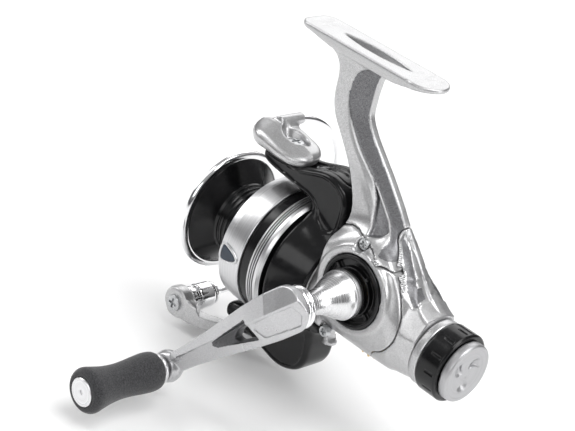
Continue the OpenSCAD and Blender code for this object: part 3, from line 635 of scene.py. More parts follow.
def body_field(x, y, z):
    """Whole outer shape of stem, foot, gearbox and tail."""
    near_side = outline(x, z, BODY_BOTTOM + BODY_TOP)
    far_side = outline(x, z, BODY_BOTTOM + FAR_TOP)
    ridge_x, ridge_z = np.array(STEM_REAR[::-1]).T
    ridge = np.interp(x.ravel(), ridge_x, ridge_z).reshape(x.shape)
    roof = (z + 1.5 * np.maximum(-y - 2.2, 0) - ridge) / 1.8
    far_side = np.where(x < -12, np.maximum(far_side, roof), far_side)
    side = np.where(y > 0, near_side, far_side)
    box = meet(side, outline(y, z, BODY_FRONT), 5.0)
    r = np.sqrt(y * y + z * z)
    cone = (r - (11.5 + 0.22 * np.maximum(x + 53.6, 0) + 0.8 * np.maximum(x + 46, 0))) * 0.76
    box = meet(box, cone, 2.0)
    # Round gear drum, whose face the bearing cap sits in
    drum = meet(np.hypot(x - CRANK[0], z - CRANK[1]) - 17.4, np.maximum(y - 12.6, -y), 5.0)
    drum = meet(drum, outline(y, z, BODY_FRONT), 2.0)
    box = join(box, drum, 3.0)
    stem = stem_field(x, y, z)
    body = join(box, stem, 6.0)
    foot = foot_field(x, y, z)
    body = join(body, foot, 2.5)
    wedge = outline(x, z, WEDGE)
    body = cut(body, np.maximum(wedge, -(body + 1.5)), 0.5)
    groove = np.maximum(outline(x, z, REAR_PANEL), -(body + 0.4))
    body = cut(body, groove, 0.3)
    body = cut(body, lens_pocket(x, y, z), 0.2)
    body = np.maximum(body, z - FOOT_Z)
    # Front and tail ends, and the round neck behind the rotor
    body = np.maximum(body, np.maximum(-53.6 - x, np.where(z < 30, x + 9.9, -1)))
    neck = join(rod(y, z, x, 15.3, -13, -4.5), rod(y, z, x, 10.5, -6, 4))
    return join(body, neck, 0.6)


def hollow_field(x, y, z, body):
    """Everything taken out of the inside of the body, which keeps a wall all round."""
    r = np.sqrt(y * y + z * z)
    room = np.maximum(outline(x, z, CAVITY), outline(y, z, ROOM))
    room = np.maximum(room, (r - (10.4 + np.maximum(x + 47, 0) * 1.15)) * 0.66)
    room = np.maximum(room, body + 1.4)
    cx, cz = x - CRANK[0], z - CRANK[1]
    parts = [room, rod(y, z, x, 8.6, -48, -20), rod(y, z, x, 10.1, -60, -46),
        np.maximum(rod(cx, cz, y, 16.5, -6.8, -1.9), body + 0.9), rod(cx, cz, y, 4.2, -30, 30),
        rod(cx, cz, y, 6.5, -12.9, -9.3), rod(cx, cz, y, 6.5, 8.8, 30), rod(cx, cz, y, 12.65, 11.4, 30),
        rod(y, z, x, 4.2, -12.5, -6), rod(y, z, x, 7.05, -6.2, 5),
        block(x, y, z, (-13.4, -8, -30), (-10.6, 8, -9.2)), rod(y, z + 12.4, x, 1.3, -17, -11)]
    return functools.reduce(np.minimum, parts)


def in_panels(x, y, z):
    """The grainy recessed panels on both flanks of the stem and of the rear cover."""
    rear_depth, _ = segment_distances(x, z, STEM_REAR, False)
    stem = (outline(x, z, PANEL) < -0.5) & (outline(x, z, REAR_SPLIT) > 0)
    stem &= (np.abs(y) > 1.5) & (z < 77.2) & (z > 24.5) & ~((rear_depth < 0.35) & (np.abs(y) < 1.6))
    flank = (outline(x, z, REAR_PANEL) < -0.25) & (np.abs(y) > 1.8)
    wedge = (outline(x, z, WEDGE) < 0.1) & (np.abs(y) > 1.5)
    return stem | flank | wedge


def build_body(paint, grain, screw_material):
    xyz = grid((-57, -15, -19), (31, 15.5, 83.2), 0.4)
    x, y, z = xyz
    body = body_field(x, y, z)
    outside = body
    # Raised rim round the bearing cap
    cx, cz = x - CRANK[0], z - CRANK[1]
    rim = rod(cx, cz, y, 14.9, 6, 14.0)
    body = np.where(y > 3, join(body, np.maximum(rim, x + 9.6), 1.2), body)
    for sx, sz in SCREW_PLACES:
        body = cut(body, rod(x - sx, z - sz, y, 2.3, 9.9, 30), 0.5)
    body = np.maximum(body, -hollow_field(x, y, z, outside))
    cover = np.maximum(outline(x, z, COVER_SPLIT), 3 - y)
    rear = outline(x, z, REAR_SPLIT)
    housing = cut(cut(body, rear - SEAM, 0.35), cover - SEAM, 0.35)
    side = cut(meet(body, cover + SEAM, 0.35), rear - SEAM, 0.35)
    tail = meet(body, rear + SEAM, 0.35)
    shell = second_coat(cast("housing_casting", housing, xyz, paint), grain, in_panels)
    place(shell, "frame", "body_paint", "body_housing")
    place(cast("side_cover_casting", side, xyz, paint), "frame", "body_paint", "side_cover")
    rear_cover = second_coat(cast("rear_cover_casting", tail, xyz, paint), grain, in_panels)
    place(rear_cover, "frame", "body_paint", "rear_cover")
    heads = []
    for i, (sx, sz) in enumerate(SCREW_PLACES):
        turn = rotation(-90, "X", 3) @ rotation(20, "Z", 3)
        heads.append(screw_head(f"cover_screw_{i}", (sx, 10.0, sz), turn, 1.95, 1.2, screw_material))
        heads.append(lathe(f"shank_{i}", bar_profile(0.8, 3.8, 10), screw_material, "y", (sx, 0, sz)))
    place(merge("cover_screw_pair", heads), "frame", "steel", "cover_screws")


# ---------------- rear drag, cap and lever


def build_drag(paint, turned, black):
    collar = [(8.5, -57.5), (9.4, -57.5), (9.4, -56.9), (11.7, -56.9), (11.9, -56.4), (11.9, -54.4),
        (11.6, -53.85), (10.0, -53.5), (10.0, -46.8), (8.5, -46.8)]
    place(lathe("drag_collar", collar, paint, r=0.4), "frame", "body_paint", "drag_housing")

    def ribbed(angle, radius, along):
        """Twelve shallow grooves round the grip, between two plain ends."""
        if radius < 11.5:
            return radius
        grooved = step_up(along + 64.6, 0.6) * step_up(-60.4 - along, 0.6)
        wave = max(0.0, math.cos(12 * angle) - 0.86) / 0.14
        return radius - 0.35 * float(grooved) * wave

    rows = [(12.3, -64.9 + 0.35 * i) for i in range(21)]
    ring = [(9.7, -65.5), (11.6, -65.5), (12.2, -65.1)] + rows + [(12.1, -57.3), (9.7, -57.1)]
    place(lathe("drag_grip", ring, black, r=0.15, parts=288, shape=ribbed), "drag_knob", "black_plastic",
        "drag_ring")
    # Cap with a shallow dish and three curved, sickle-shaped hollows
    xyz = grid((-69.6, -11.6, -11.6), (-59.4, 11.6, 11.6), 0.26)
    x, y, z = xyz
    r = np.sqrt(y * y + z * z)
    cap = meet(np.maximum(r - 10.5 + 0.05 * np.maximum(-67 - x, 0) ** 2, x + 65.7), -68.9 - x, 0.8)
    dish = np.sqrt((x + 68.9 + 52.0) ** 2 + r * r) - 52.9
    cap = cut(cap, np.maximum(dish, r - 8.9), 0.5)
    for i in range(3):
        a = math.radians(120 * i + 38)
        u, v = y * math.cos(a) + z * math.sin(a), -y * math.sin(a) + z * math.cos(a)
        sickle = np.maximum(np.hypot(u - 3.9, v + 0.4) - 4.1, 5.2 - np.hypot(u - 1.6, v - 4.6))
        ball = np.sqrt((x + 71.2) ** 2 + (u - 3.9) ** 2 + (v + 0.4) ** 2) - 4.1
        cap = cut(cap, np.maximum(sickle, ball), 0.25)
    spigot = rod(y, z, x, 9.5, -66, -60)
    cap = cut(join(cap, spigot), rod(y, z, x, 8.6, -66.2, -50))
    place(cast("drag_knob_cap", cap, xyz, turned), "drag_knob", "machined_alloy", "drag_cap")


def build_bearing_cap(black):
    """Black cup round the crank: outer lip, stepped rings and four ribs."""
    xyz = grid((-14, 7.4, -14), (14, 15.6, 14), 0.3)
    x, y, z = xyz
    r = np.hypot(x, z)
    cap = meet(np.maximum(r - 12.52, 11.7 - y), y - 14.75, 0.5)
    cap = cut(cap, np.maximum(np.maximum(r - 11.0, 8.4 - r), 12.7 - y), 0.3)
    cap = cut(cap, np.maximum(r - 7.6, 13.5 - y), 0.3)
    for a in (35, 125, 215, 305):
        c, s = math.cos(math.radians(a)), math.sin(math.radians(a))
        u, v = x * c + z * s, -x * s + z * c
        rib = np.maximum.reduce(np.broadcast_arrays(np.abs(v) - 0.55, 8 - u, u - 11.4, 12.2 - y,
            y - 14.1))
        cap = join(cap, rib, 0.3)
    cap = np.maximum(cap, 4.4 - r)
    seat = np.maximum(np.maximum(r - 7.55, 6.55 - r), np.maximum(8.2 - y, y - 12))
    cap = join(cap, seat)
    move = Matrix.Translation((CRANK[0], 0, CRANK[1]))
    place(cast("crank_bearing_cap", cap, xyz, black, move), "frame", "black_plastic", "bearing_cap")


def build_socket_cap(turned):
    dome = [(0, -15.6), (4.2, -15.6), (5.6, -15.1), (6.3, -13.62), (0, -13.62)]
    piece = lathe("right_socket_cap", dome, turned, "y", (CRANK[0], 0, CRANK[1]), 0.5)
    place(piece, "frame", "machined_alloy", "socket_cap")


def build_switch(paint):
    """Anti-reverse lever: a short spindle, a leg and a bent finger tab."""
    xyz = grid((-17.4, -4, -10.6), (-9.6, 4, 3), 0.25)
    x, y, z = xyz
    spindle = join(rod(y, z, x, 1.1, -16.5, -11.2), rod(y, z, x, 2.0, -12.8, -11.2), 0.3)
    leg = block(x, y, z, (-12.8, -2.4, -9.4), (-11.2, 2.4, -0.8))
    leg = cut(leg, np.maximum(np.abs(z + 5.4) - 1.5, 1.2 - np.abs(y)) + 0.5, 0.5)
    tab = meet(block(x, y, z, (-15, -2.4, -9.4), (-11.2, 2.4, -8)), np.hypot(x + 12.4, y) - 2.6, 0.6)
    lever = join(join(spindle, leg, 0.6), tab, 0.7)
    place(cast("anti_reverse_switch", lever, xyz, paint, Matrix.Translation((0, 0, -12.4))),
          "anti_reverse", "body_paint", "anti_reverse_lever")


# ---------------- rotor and bail

ARM_SIDE = loop([(-7.6, 17.6), (-9.3, 22), (-9.5, 27), (-8.9, 31.4), (-6.4, 35.2), (-1.5, 37.6),
    (4, 38.1), (12, 36.5), (22, 35.4), (30, 34.9), (32.2, 33), (31.6, 29.6), (27, 27.5), (15, 26.6),
    (8, 26.2), (4.4, 24.4), (1.6, 19.6), (-3, 16.4)], 5)
UPPER_SIDE = loop([(-7.6, 17.6), (-9.3, 22), (-9.5, 27), (-8.9, 31.4), (-6.4, 35.2), (-1.5, 37.4),
    (4, 37.4), (11, 35.2), (16, 33.9), (22, 33.4), (30, 33.2), (32.2, 32), (31.6, 29.2), (27, 27.5),
    (15, 26.6), (8, 26.2), (4.4, 24.4), (1.6, 19.6), (-3, 16.4)], 5)


def build_rotor(black):
    xyz = grid((-10.4, -25, -40), (34.4, 25, 40), 0.5)
    x, y, z = xyz
    r = np.hypot(y, z)
    # Cup: a flared rear shell, the drum inside the spool's skirt, and the hub
    shell = np.maximum(np.maximum(r - (17.9 + 0.44 * np.clip(x + 9.1, 0, 12.2)), -9.1 - x), x - 4.2)
    shell = meet(shell, r - 23.1, 0.8)
    inner = np.maximum(r - (15.9 + 0.26 * (x + 9.1)), x - 2.5)
    cup = cut(shell, inner, 0.4)
    web = np.maximum(np.maximum(r - 19.2, 2.3 - x), x - 8.6)
    drum = np.maximum(np.maximum(r - 21.2, 19.5 - r), np.maximum(4.0 - x, x - 20.4))
    hub = rod(y, z, x, 19.6, 8.6, 11.0)
    cup = join(join(cup, web), join(drum, hub))
    arm = np.full(np.broadcast_shapes(x.shape, y.shape, z.shape), 1e3)
    for up in (1, -1):
        side = outline(x, z * up, UPPER_SIDE if up > 0 else ARM_SIDE)
        half = 7.5 - 1.2 * step_up(x - 8, 20)
        one = meet(side, np.abs(y) - half, 2.6)
        # Long round-ended trough on the outer face, between two raised ribs
        trough = np.maximum(np.hypot(np.maximum(np.abs(x - 6.0) - 8.5, 0), y) - 3.4, 27 - z * up)
        one = cut(one, np.maximum(trough, -side - 0.9), 0.6)
        # Shallow panels on both side faces leave a raised rib round the arm's edge
        one = cut(one, np.maximum(side + 1.9, half - 0.7 - np.abs(y)), 0.5)
        one = np.maximum(one, np.where(x > 3.45, 25.5 - r, 20 - r))
        arm = np.minimum(arm, one)
    rotor = join(cup, arm, 5.0)
    rotor = np.where(x > 3.6, np.maximum(rotor, np.where((r > 21.3) & (r < 25.4), 25.5 - r, -9)), rotor)
    rotor = np.maximum(rotor, 3.52 - r)
    for up in (1, -1):
        rotor = np.maximum(rotor, -rod(x - PIVOT_X, y, z * up, 1.25, 25, 42))
    piece = cast("rotor_shell", rotor, xyz, black)
    place(piece, "rotor", "black_plastic", "rotor")
    for node, up in (("arm_cover_upper", 1), ("arm_cover_lower", -1)):
        cover_xyz = grid((-8, -4.5, 33), (14, 4.5, 39.6), 0.28)
        cx, cy, cz = cover_xyz
        side = outline(cx, cz, UPPER_SIDE if up > 0 else ARM_SIDE)
        plate = meet(np.hypot(np.maximum(np.abs(cx - 3.0) - 5.0, 0), cy) - 3.0, np.abs(side + 1.0) - 0.55,
            0.5)
        plate = cut(plate, np.maximum(np.hypot(np.maximum(np.abs(cx - 3.0) - 3.4, 0), cy) - 1.2,
            -(side + 0.9)), 0.3)
        flip = Matrix.Rotation(0 if up > 0 else math.pi, 4, "X")
        place(cast(node + "_plate", plate, cover_xyz, black, flip), "rotor", "black_plastic", node)


LEVER_PLAN = loop([(12.4, 1.5), (12.8, 6.0), (16.5, 9.4), (22.5, 10.4), (29, 10.0), (34.6, 9.4),
    (39.0, 6.2), (40.3, 1.0), (38.6, -4.2), (34.5, -7.8), (27, -7.6), (19, -6.8), (14.2, -3.4)], 6)


def build_bail_lever(paint, steel):
    """Domed teardrop over the upper pivot, with a screw well and the ferrule of the wire."""
    xyz = grid((10, -13, 32), (42, 12.4, 44.5), 0.32)
    x, y, z = xyz
    plan = outline(x, y, LEVER_PLAN)
    rise = 2.0 * step_up(x - 15, 19)
    crown = 39.4 + rise - 0.024 * np.maximum(x - 33, 0) ** 2 - 0.030 * np.maximum(20 - x, 0) ** 2
    near, far = crown - 0.40 * np.maximum(y - 2.4, 0), crown - 0.16 * np.maximum(2.4 - y, 0)
    body = meet(plan + 0.34 * np.maximum(36.5 - z, 0), z - np.minimum(near, far), 2.4)
    body = meet(body, 33.7 - z, 1.0)
    ferrule = np.maximum(np.hypot(x - 33, z - 41.1) - 2.15 + 0.03 * np.maximum(-6 - y, 0),
        np.maximum(-10.5 - y, y - 1))
    body = join(body, meet(ferrule, -10.5 - y, 0.4), 2.0)
    well = np.maximum(np.hypot((x - PIVOT_X) / 1.4, y) - 3.7 - 0.3 * (z - 38), 37.0 - z)
    body = cut(body, well, 0.6)
    body = np.maximum(body, -rod(x - PIVOT_X, y, z, 1.25, 30, 50))
    body = np.maximum(body, -rod(x - 33, z - 41.1, y, 1.1, -12, -5))
    place(cast("bail_lever_casting", body, xyz, paint), "bail", "body_paint", "bail_lever")
    screws = []
    for up in (1, -1):
        turn = Matrix.Rotation(0 if up > 0 else math.pi, 3, "X")
        z0 = 37.0 if up > 0 else -37.9
        screws.append(screw_head(f"pivot_head_{up}", (PIVOT_X, 0, z0), turn, 3.0, 1.3, steel))
        ends = sorted((z0 + 0.4 * up, z0 - 8 * up))
        pin = lathe(f"pin_{up}", bar_profile(1.15, *ends), steel, "y")
        turn_pin = np.array([[1, 0, 0], [0, 0, -1], [0, 1, 0]], float)
        co = np.array([v.co for v in pin.data.vertices]) - [0, 0, AXIS_Z * MM]
        co = co @ turn_pin.T + [PIVOT_X * MM, 0, AXIS_Z * MM]
        pin.data.vertices.foreach_set("co", co.ravel())
        screws.append(pin)
    place(merge("bail_pivot_screws", screws), "rotor", "steel", "bail_screws")


BAIL_ARM = [(24, 2), (28.5, 8.0), (34.5, 12.0), (41, 14.0), (49, 14.0)]


def build_bail_arm(paint):
    """Curved lower arm with its round ear beside the line roller."""
    xyz = grid((15.4, -9, -43.4), (54.4, 19, -28.6), 0.32)
    x, y, z = xyz
    far, _ = segment_distances(x, y, BAIL_ARM, False)
    middle = np.interp(x.ravel(), [24, 29, 35, 41, 48],
        [-38.2, -38.0, -37.6, -37.0, -36.2]).reshape(x.shape)
    tall = np.interp(x.ravel(), [22, 29, 35, 41, 48], [2.0, 2.5, 3.3, 4.2, 5.0]).reshape(x.shape)
    bar = meet(far - 2.15, np.abs(z - middle) - tall, 1.4)
    # Stays under the rotor's arm as the bail swings
    swept = np.hypot(x - PIVOT_X, y)
    bar = np.maximum(bar, z + 36.0 - 4.0 * step_up(swept - 18.5, 3.0))
    disc = meet(np.hypot(x - PIVOT_X, y) - 7.0, np.maximum(z + 36.05, -40.2 - z), 0.9)
    ear = meet(np.hypot(x - 47.3, z - ROLLER[1]) - 5.7, np.maximum(11.65 - y, y - 16.4), 0.9)
    body = join(join(disc, bar, 1.6), ear, 1.2)
    body = cut(body, np.maximum(np.hypot(x - ROLLER[0], z - ROLLER[1]) - 6.0, y - 11.6), 0.2)
    body = np.maximum(body, -rod(x - PIVOT_X, y, z, 1.25, -50, -30))
    body = np.maximum(body, -rod(x - PIVOT_X, y, z, 3.3, -50, -38.0))
    body = np.maximum(body, -rod(x - ROLLER[0], z - ROLLER[1], y, 1.3, 0, 30))
    place(cast("bail_arm_casting", body, xyz, paint), "bail", "body_paint", "bail_arm")


def wire_path(steps=90):
    """From the lever's ferrule round the far side of the spool to the line roller."""
    start, end = np.array([33, -5, 41.1]), np.array([ROLLER[0], -2.6, ROLLER[1]])
    radius, cy, cz = 39.6, -4.0, 2.0
    out = []
    for i in range(steps + 1):
        t = i / steps
        a = math.radians(90 + 180 * t)
        near_start, near_end = (1 - t) ** 6, t ** 6
        x = start[0] + (end[0] - start[0]) * (0.5 - 0.5 * math.cos(math.pi * t))
        y = cy + radius * math.cos(a) + near_start * (start[1] - cy) + near_end * (end[1] - cy)
        z = cz + radius * math.sin(a) + near_start * (start[2] - cz - radius)
        z += near_end * (end[2] - cz + radius)
        out.append((x, y, z))
    return out


def build_wire_and_roller(bright, steel, black):
    wire = tube("wire", wire_path(), 1.1, bright)
    at = (ROLLER[0], 0, ROLLER[1])
    cone = lathe("cone", [(0, -5.8), (1.3, -5.6), (2.4, -4.0), (4.2, -1.5), (4.3, -0.42), (0, -0.42)],
        bright, "y", at, 0.4)
    place(merge("bail_wire_loop", [wire, cone]), "bail", "spool_chrome", "bail_wire")
    roll = [(2.2, 0), (4.0, 0), (4.6, 0.5), (4.9, 1.2), (4.9, 6.6), (4.6, 7.2), (3.7, 7.5), (3.6, 8.6),
        (4.2, 9.0), (4.7, 9.3), (4.7, 10.8), (4.4, 11.2), (2.2, 11.2)]
    place(lathe("line_roller_wheel", roll, bright, "y", at, 0.15), "line_roller", "spool_chrome",
        "line_roller")
    bush = [(1.33, 0), (2.17, 0), (2.17, 11.2), (1.33, 11.2)]
    place(lathe("line_roller_bush", bush, black, "y", at, 0.1), "line_roller", "black_plastic",
        "roller_bush")
    turn = rotation(-90, "X", 3)
    head = screw_head("roller_head", (ROLLER[0], 16.45, ROLLER[1]), turn, 3.1, 1.5, steel)
    shank = lathe("roller_shank", bar_profile(1.27, -0.38, 16.5), steel, "y", at, 0.1)
    place(merge("line_roller_screw", [head, shank]), "bail", "steel", "roller_screw")


# ---------------- spool


def build_spool(black, bright, band, clip, turned):
    body = [(1.42, 22), (4, 22), (4, 37.4), (11.2, 37.4), (11.6, 25), (11.6, 23.4), (22.2, 23.4),
        (22.4, 5), (23.38, 5), (23.38, 25), (14.6, 25.3), (13.9, 25.6)]
    for i in range(6):
        start = 26.4 + 2.05 * i
        body += [(13.2, start), (13.2, start + 1.25), (12.75, start + 1.4), (12.75, start + 1.95)]
    body += [(13.2, 38.8), (13.4, 39.8), (20.38, 44.9), (20.38, 46.5), (12.6, 41.6), (6.8, 41.4),
        (6.6, 43.6), (4.4, 43.6), (4.4, 39.0), (1.42, 39.0)]
    place(lathe("spool_shell", body, black, r=0.25, parts=160), "spool", "black_plastic", "spool_body")
    lip = [(20.42, 44.8), (21.3, 44.7), (22.5, 45.0), (23, 45.7), (23, 46.7), (22.5, 47.35), (21.5, 47.4),
        (20.42, 46.8)]
    place(lathe("spool_lip_ring", lip, bright, r=0.5, parts=160), "spool", "spool_chrome", "spool_lip")
    # Rear band: one wide and three narrow rings, with the black spool in the grooves between them
    rings = []
    for i, (start, end, r0) in enumerate(((5.0, 7.55, 23.6), (8.05, 8.5, 24.15), (9.0, 9.45, 24.15),
            (9.95, 10.6, 24.1))):
        rings.append(lathe(f"rear_ring_{i}", [(23.4, start), (r0, start), (24.15, min(end, start + 1.2)),
            (24.15, end), (23.4, end)], band, r=0.07, parts=160))
    place(merge("skirt_ring_rear", rings), "spool", "spool_chrome", "skirt_band_rear")

    # Front band, and a raised round-cornered frame for the line clip
    clip_side = loop([(-3.8, -0.2), (-2.6, 1.3), (1.4, 2.7), (3.3, 2.4), (3.7, 0.6), (3.3, -2.6),
        (2.0, -3.0), (-1.6, -1.9)], 5)
    front = [(23.42, 15), (24.1, 15), (24.2, 15.4), (24.2, 19), (24.1, 22), (23.8, 25.1), (23.42, 25.1)]
    flat_band = lathe("front_ring", front, band, r=0.1, parts=160)
    xyz = grid((14.8, -5.2, 22.8), (25.8, 5.2, 26.4), 0.2)
    x, y, z = xyz
    r = np.hypot(y, z)
    flat = outline(x - 20.4, y, clip_side)
    rim = meet(np.maximum(np.abs(flat - 0.3) - 0.5, 23.6 - r), r - 24.75 + 0.05 * np.maximum(x - 21, 0),
        0.4)
    spin = rotation(-90, "X")
    rim = cast("clip_rim", rim, xyz, band, spin)
    place(merge("skirt_ring_front", [flat_band, rim]), "spool", "spool_chrome", "skirt_band_front")
    pad = meet(flat + 0.25, np.maximum(r - 24.62, 23.42 - r), 0.3)
    place(cast("line_clip_pad", pad, xyz, clip, spin), "spool", "clip_plastic", "line_clip")
    button = [(0, 43.9), (3.1, 43.9), (3.1, 41.6), (4, 41.6), (4, 45), (3.6, 45.7), (2.4, 46), (0, 45.7)]
    place(lathe("release_button_cap", button, turned, r=0.3, parts=64), "release_button",
        "machined_alloy", "spool_button")


# ---------------- crank and knob

ARM_ROOT_Y = 41.5
LEAN = math.tan(math.radians(4.5))
KNOB = (CRANK[0] + CRANK_R * math.cos(math.radians(CRANK_ANGLE)),
        CRANK[1] - CRANK_R * math.sin(math.radians(CRANK_ANGLE)))
KNOB_START = ARM_ROOT_Y + CRANK_R * LEAN + 7
KNOB_END = KNOB_START + 33


def build_crank(turned, bright):
    at = (CRANK[0], 0, CRANK[1])
    hub = [(0, 15.6), (4.2, 15.6), (4.2, 16.3), (7.4, 16.3), (8.2, 16.9), (8.35, 18.2), (8.3, 20.0),
        (7.95, 20.6)]
    hub += spline([(7.95, 20.6), (7.3, 22.8), (6.1, 25.4), (4.9, 28.2), (4.2, 31.0), (3.95, 34.0),
        (4.2, 37.15)], 4)[1:]
    place(lathe("crank_bell", hub + [(0, 37.15)], turned, "y", at, 0.12), "crank", "machined_alloy",
        "crank_hub")
    collar = [(0, 37.22), (5.9, 37.22), (6.9, 37.6), (7.2, 38.2), (6.9, 38.8), (6.2, 39.1), (6.2, 39.3),
        (7.2, 39.7), (7.4, 40.4), (7.1, 41.25), (0, 41.25)]
    place(lathe("crank_ring", collar, bright, "y", at, 0.3), "crank", "spool_chrome", "crank_collar")


SINK = [(14.2, 2.6), (13.2, 0.2), (13.8, -4.9), (31.5, -1.6), (32.5, -0.5), (31.5, 0.5)]


def build_handle(alloy, sunk):
    """Faceted arm: a roof-shaped bar with a sunk panel and a window near its root, and a round end. The
    deep pocket's faces get a near-black coat: painted shade.
    """
    xyz = grid((-9.5, 40.5, -9.5), (CRANK_R + 7.5, 55.5, 9.5), 0.3)
    u, y, v = xyz
    up = y - ARM_ROOT_Y - np.clip(u, 0, None) * LEAN
    half = np.interp(u.ravel(), [-9, 8, 16, 34, 48, 60], [8.0, 7.7, 7.0, 4.9, 3.7, 3.3]).reshape(u.shape)
    top = np.interp(u.ravel(), [-9, 4, 14, 34, 60], [3.6, 8.0, 7.8, 6.3, 5.6]).reshape(u.shape)
    ridge = 1.0
    roof = np.maximum(up + 0.42 * np.maximum(v - ridge, 0) - top,
        up + 0.62 * np.maximum(ridge - v, 0) - top) * 0.86
    bar = meet(np.maximum(np.abs(v) - half, -u - 8.0), roof, 0.35)
    bar = np.maximum(bar, np.where(u < 0, np.sqrt(u * u + v * v) - 8.0, -9.0))
    bar = meet(bar, 0.15 - up, 0.5)
    bar = np.maximum(bar, u - CRANK_R + 2.0)
    panel = outline(u, v, [(-4.6, 0.2), (10.4, 0.2), (12.2, -1.4), (11.2, -5.2), (-2.5, -6.2),
        (-5.2, -3.4)])
    bar = cut(bar, np.maximum(panel, -(roof + 0.55)), 0.3)
    sink = outline(u, v, SINK)
    bar = cut(bar, np.maximum(sink, 3.6 + np.maximum(u - 22, 0) * 0.22 - up), 0.35)
    window = outline(u, v, [(14.9, 1.6), (14.4, -3.9), (22.5, -2.5), (23.8, -1.0), (21.5, 0.8)])
    bar = cut(bar, window, 0.3)
    # Round end that holds the knob's spindle
    ball = np.sqrt((u - CRANK_R) ** 2 + v * v + ((up - 3.4) * 1.25) ** 2) - 5.6
    end = meet(meet(ball, up - 6.0, 0.4), -0.6 - up, 0.4)
    end = np.maximum(end, np.where(u < CRANK_R - 6.5, 9.0, -9.0))
    bar = join(bar, end, 0.5)
    bar = np.maximum(bar, 1.56 - np.hypot(u - CRANK_R, v))
    turn = rotation(CRANK_ANGLE, "Y")
    move = Matrix.Translation((CRANK[0], 0, CRANK[1])) @ turn
    c, s = math.cos(math.radians(CRANK_ANGLE)), math.sin(math.radians(CRANK_ANGLE))

    # Picks the faces inside the pocket, which get the painted shade
    def in_pocket(x, y, z):
        dx, dz = x - CRANK[0], z - CRANK[1]
        u, v = dx * c - dz * s, dx * s + dz * c
        return outline(u, v, SINK) < 0.12

    # Painted shade: the pocket's faces get a near-black second coat that stands in for the shade in the
    # recess
    arm = second_coat(cast("handle_arm_bar", bar, xyz, alloy, move), sunk, in_pocket)
    place(arm, "crank", "machined_alloy", "handle_arm")


def build_drive_gear(brass):
    """Bevel-like drive wheel on the crank's shaft, with slanted teeth round its rim."""
    def toothed(angle, radius, along):
        depth = 0.9 * (0.5 - 0.5 * math.cos(35 * (angle + 0.03 * along)))
        return radius - (depth if radius > 13.5 else 0)

    profile = [(0, -13.2), (2.95, -13.2), (2.95, -9.2), (5, -9.2), (5, -6.4), (14.3, -6.4), (14.3, -3.2),
        (13.2, -3.0), (12.6, -4.3), (5, -4.3), (5, -3.9), (2.95, -3.9), (2.95, 15.55), (0, 15.55)]
    wheel = lathe("drive_wheel", profile, brass, "y", (CRANK[0], 0, CRANK[1]), 0.15, 280, toothed)
    place(wheel, "crank", "brass", "drive_gear")


def build_knob(soft, turned):
    at = (KNOB[0], 0, KNOB[1])
    s, e = KNOB_START, KNOB_END
    outer = spline([(5.4, s + 2.1), (6.4, s + 3.1), (6.75, s + 6), (6.5, s + 10), (6.05, s + 15),
        (5.95, s + 19), (6.35, s + 23.5), (7.15, s + 27.5), (7.7, s + 30.2), (7.45, e - 1.3),
        (6.5, e - 0.15), (5.25, e)], 5)
    grip = [(3.05, s + 2.1)] + outer + [(5.03, e - 0.5), (5.03, e - 1.75), (3.05, e - 1.75)]
    place(lathe("knob_foam_grip", grip, soft, "y", at, 0.1), "handle_knob", "knob_foam", "knob_grip")
    sleeve = [(1.54, s), (4.6, s), (5.4, s + 0.6), (5.4, s + 1.5), (5.0, s + 1.95), (2.98, s + 1.95),
        (2.98, e - 1.82), (1.54, e - 1.82)]
    place(lathe("knob_inner_sleeve", sleeve, turned, "y", at, 0.3), "handle_knob", "machined_alloy",
        "knob_sleeve")
    disc = [(0, e - 1.2), (4.95, e - 1.2), (4.95, e + 0.1), (4.6, e + 0.45), (3.9, e + 0.3),
        (0.75, e + 0.3), (0.6, e - 0.2), (0, e - 0.2)]
    place(lathe("knob_cap_disc", disc, turned, "y", at, 0.12), "handle_knob", "machined_alloy",
        "knob_end_cap")


# ---------------- everything together


def finish_hidden_nodes(materials):
    """Every CAD node that still shows gets the material of its slot."""
    slot_of = {p["node"]: p["material_slot"] for p in frame["record"]["subparts"]}
    for node, obj in frame["nodes"].items():
        for held in obj.material_slots:
            held.material = materials[slot_of[node]]


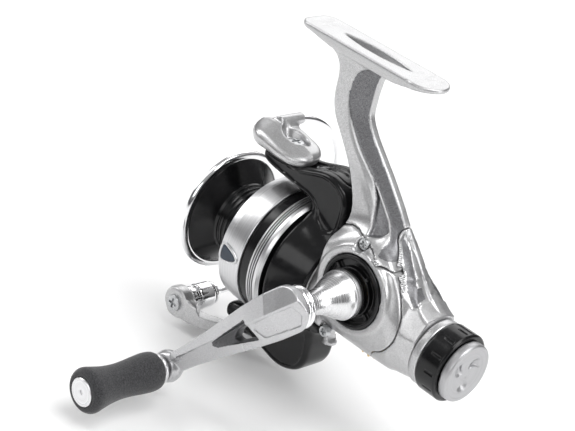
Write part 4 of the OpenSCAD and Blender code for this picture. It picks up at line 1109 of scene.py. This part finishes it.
def main():
    add_camera()
    add_world()
    paint = satin_paint("satin_silver_paint", (0.36, 0.36, 0.365), (0.66, 0.66, 0.665), 0.33)
    grain = satin_paint("grainy_panel_paint", (0.07, 0.07, 0.075), (0.30, 0.30, 0.31), 0.45)
    crank_alloy = turned_metal("turned_alloy_crank", (0.78, 0.78, 0.79), 0.24,
        (CRANK[0], 0, CRANK[1] + AXIS_Z), "Y")
    knob_alloy = turned_metal("turned_alloy_knob", (0.78, 0.78, 0.79), 0.30,
        (KNOB[0], 0, KNOB[1] + AXIS_Z), "Y")
    drag_alloy = turned_metal("turned_alloy_drag", (0.50, 0.50, 0.51), 0.40, (0, 0, AXIS_Z), "X", 0.2)
    arm_alloy = satin_paint("brushed_arm_alloy", (0.42, 0.42, 0.43), (0.62, 0.62, 0.63), 0.30)
    # Near-black copy of the arm's paint for the pocket's faces: painted shade in the recess
    pocket_painted_shade = satin_paint("arm_pocket_painted_shade", (0.05, 0.05, 0.055), (0.16, 0.16, 0.165), 0.45)
    bright = chrome("polished_chrome")
    band = turned_metal("spun_spool_band", (0.70, 0.70, 0.71), 0.30, (0, 0, AXIS_Z), "X", 0.15)
    black = gloss_plastic("gloss_black_plastic")
    soft = foam("charcoal_foam")
    steel = turned_metal("plain_steel", (0.56, 0.57, 0.58), 0.28, (0, 0, AXIS_Z), "X", 0.3)
    brass = turned_metal("plain_brass", (0.78, 0.58, 0.26), 0.30, (0, 0, AXIS_Z), "X", 0.3)
    clip = matt_plastic("slate_clip_plastic", (0.030, 0.042, 0.062))
    finish_hidden_nodes({"body_paint": paint, "machined_alloy": crank_alloy, "black_plastic": black,
        "spool_chrome": bright, "clip_plastic": clip, "knob_foam": soft, "steel": steel, "brass": brass})
    build_body(paint, grain, steel)
    build_drag(paint, drag_alloy, black)
    build_bearing_cap(black)
    build_socket_cap(crank_alloy)
    build_switch(paint)
    build_rotor(black)
    build_bail_lever(paint, steel)
    build_bail_arm(paint)
    build_wire_and_roller(bright, steel, black)
    build_spool(black, bright, band, clip, drag_alloy)
    build_crank(crank_alloy, bright)
    build_drive_gear(brass)
    build_handle(arm_alloy, pocket_painted_shade)
    build_knob(soft, knob_alloy)

    low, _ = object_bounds()
    floor_z = low[2] - 0.004
    white = Nodes("white_floor")
    white.set(Roughness=0.9, Specular_IOR_Level=0.1)
    white.colours(white.noise(400.0), (0.90, 0.90, 0.90), (0.93, 0.93, 0.93))
    mesh = bpy.data.meshes.new("floor")
    wide = 6.0
    corners = [(a * wide, b * wide, floor_z) for a, b in ((-1, -1), (1, -1), (1, 1), (-1, 1))]
    mesh.from_pydata(corners, [], [(0, 1, 2, 3)])
    mesh.materials.append(white.material)
    floor = bpy.data.objects.new("floor", mesh)
    bpy.context.scene.collection.objects.link(floor)
    centre = (0.0, 0.01, -0.06)
    add_area_light("key_light", (-0.35, -0.10, 0.75), centre, (0.7, 0.7), 6.5)
    add_area_light("side_light", (0.70, 0.35, 0.45), centre, (0.3, 0.7), 3.0)
    add_area_light("rear_light", (-0.80, -0.30, 0.20), centre, (0.25, 0.6), 2.0)
    add_area_light("back_light", (0.50, -0.62, 0.42), centre, (0.8, 0.6), 2.6)
    add_area_light("front_light", (-0.20, 0.80, 0.35), centre, (0.8, 0.4), 2.2)
    bpy.context.scene.view_settings.view_transform = "Standard"


main()
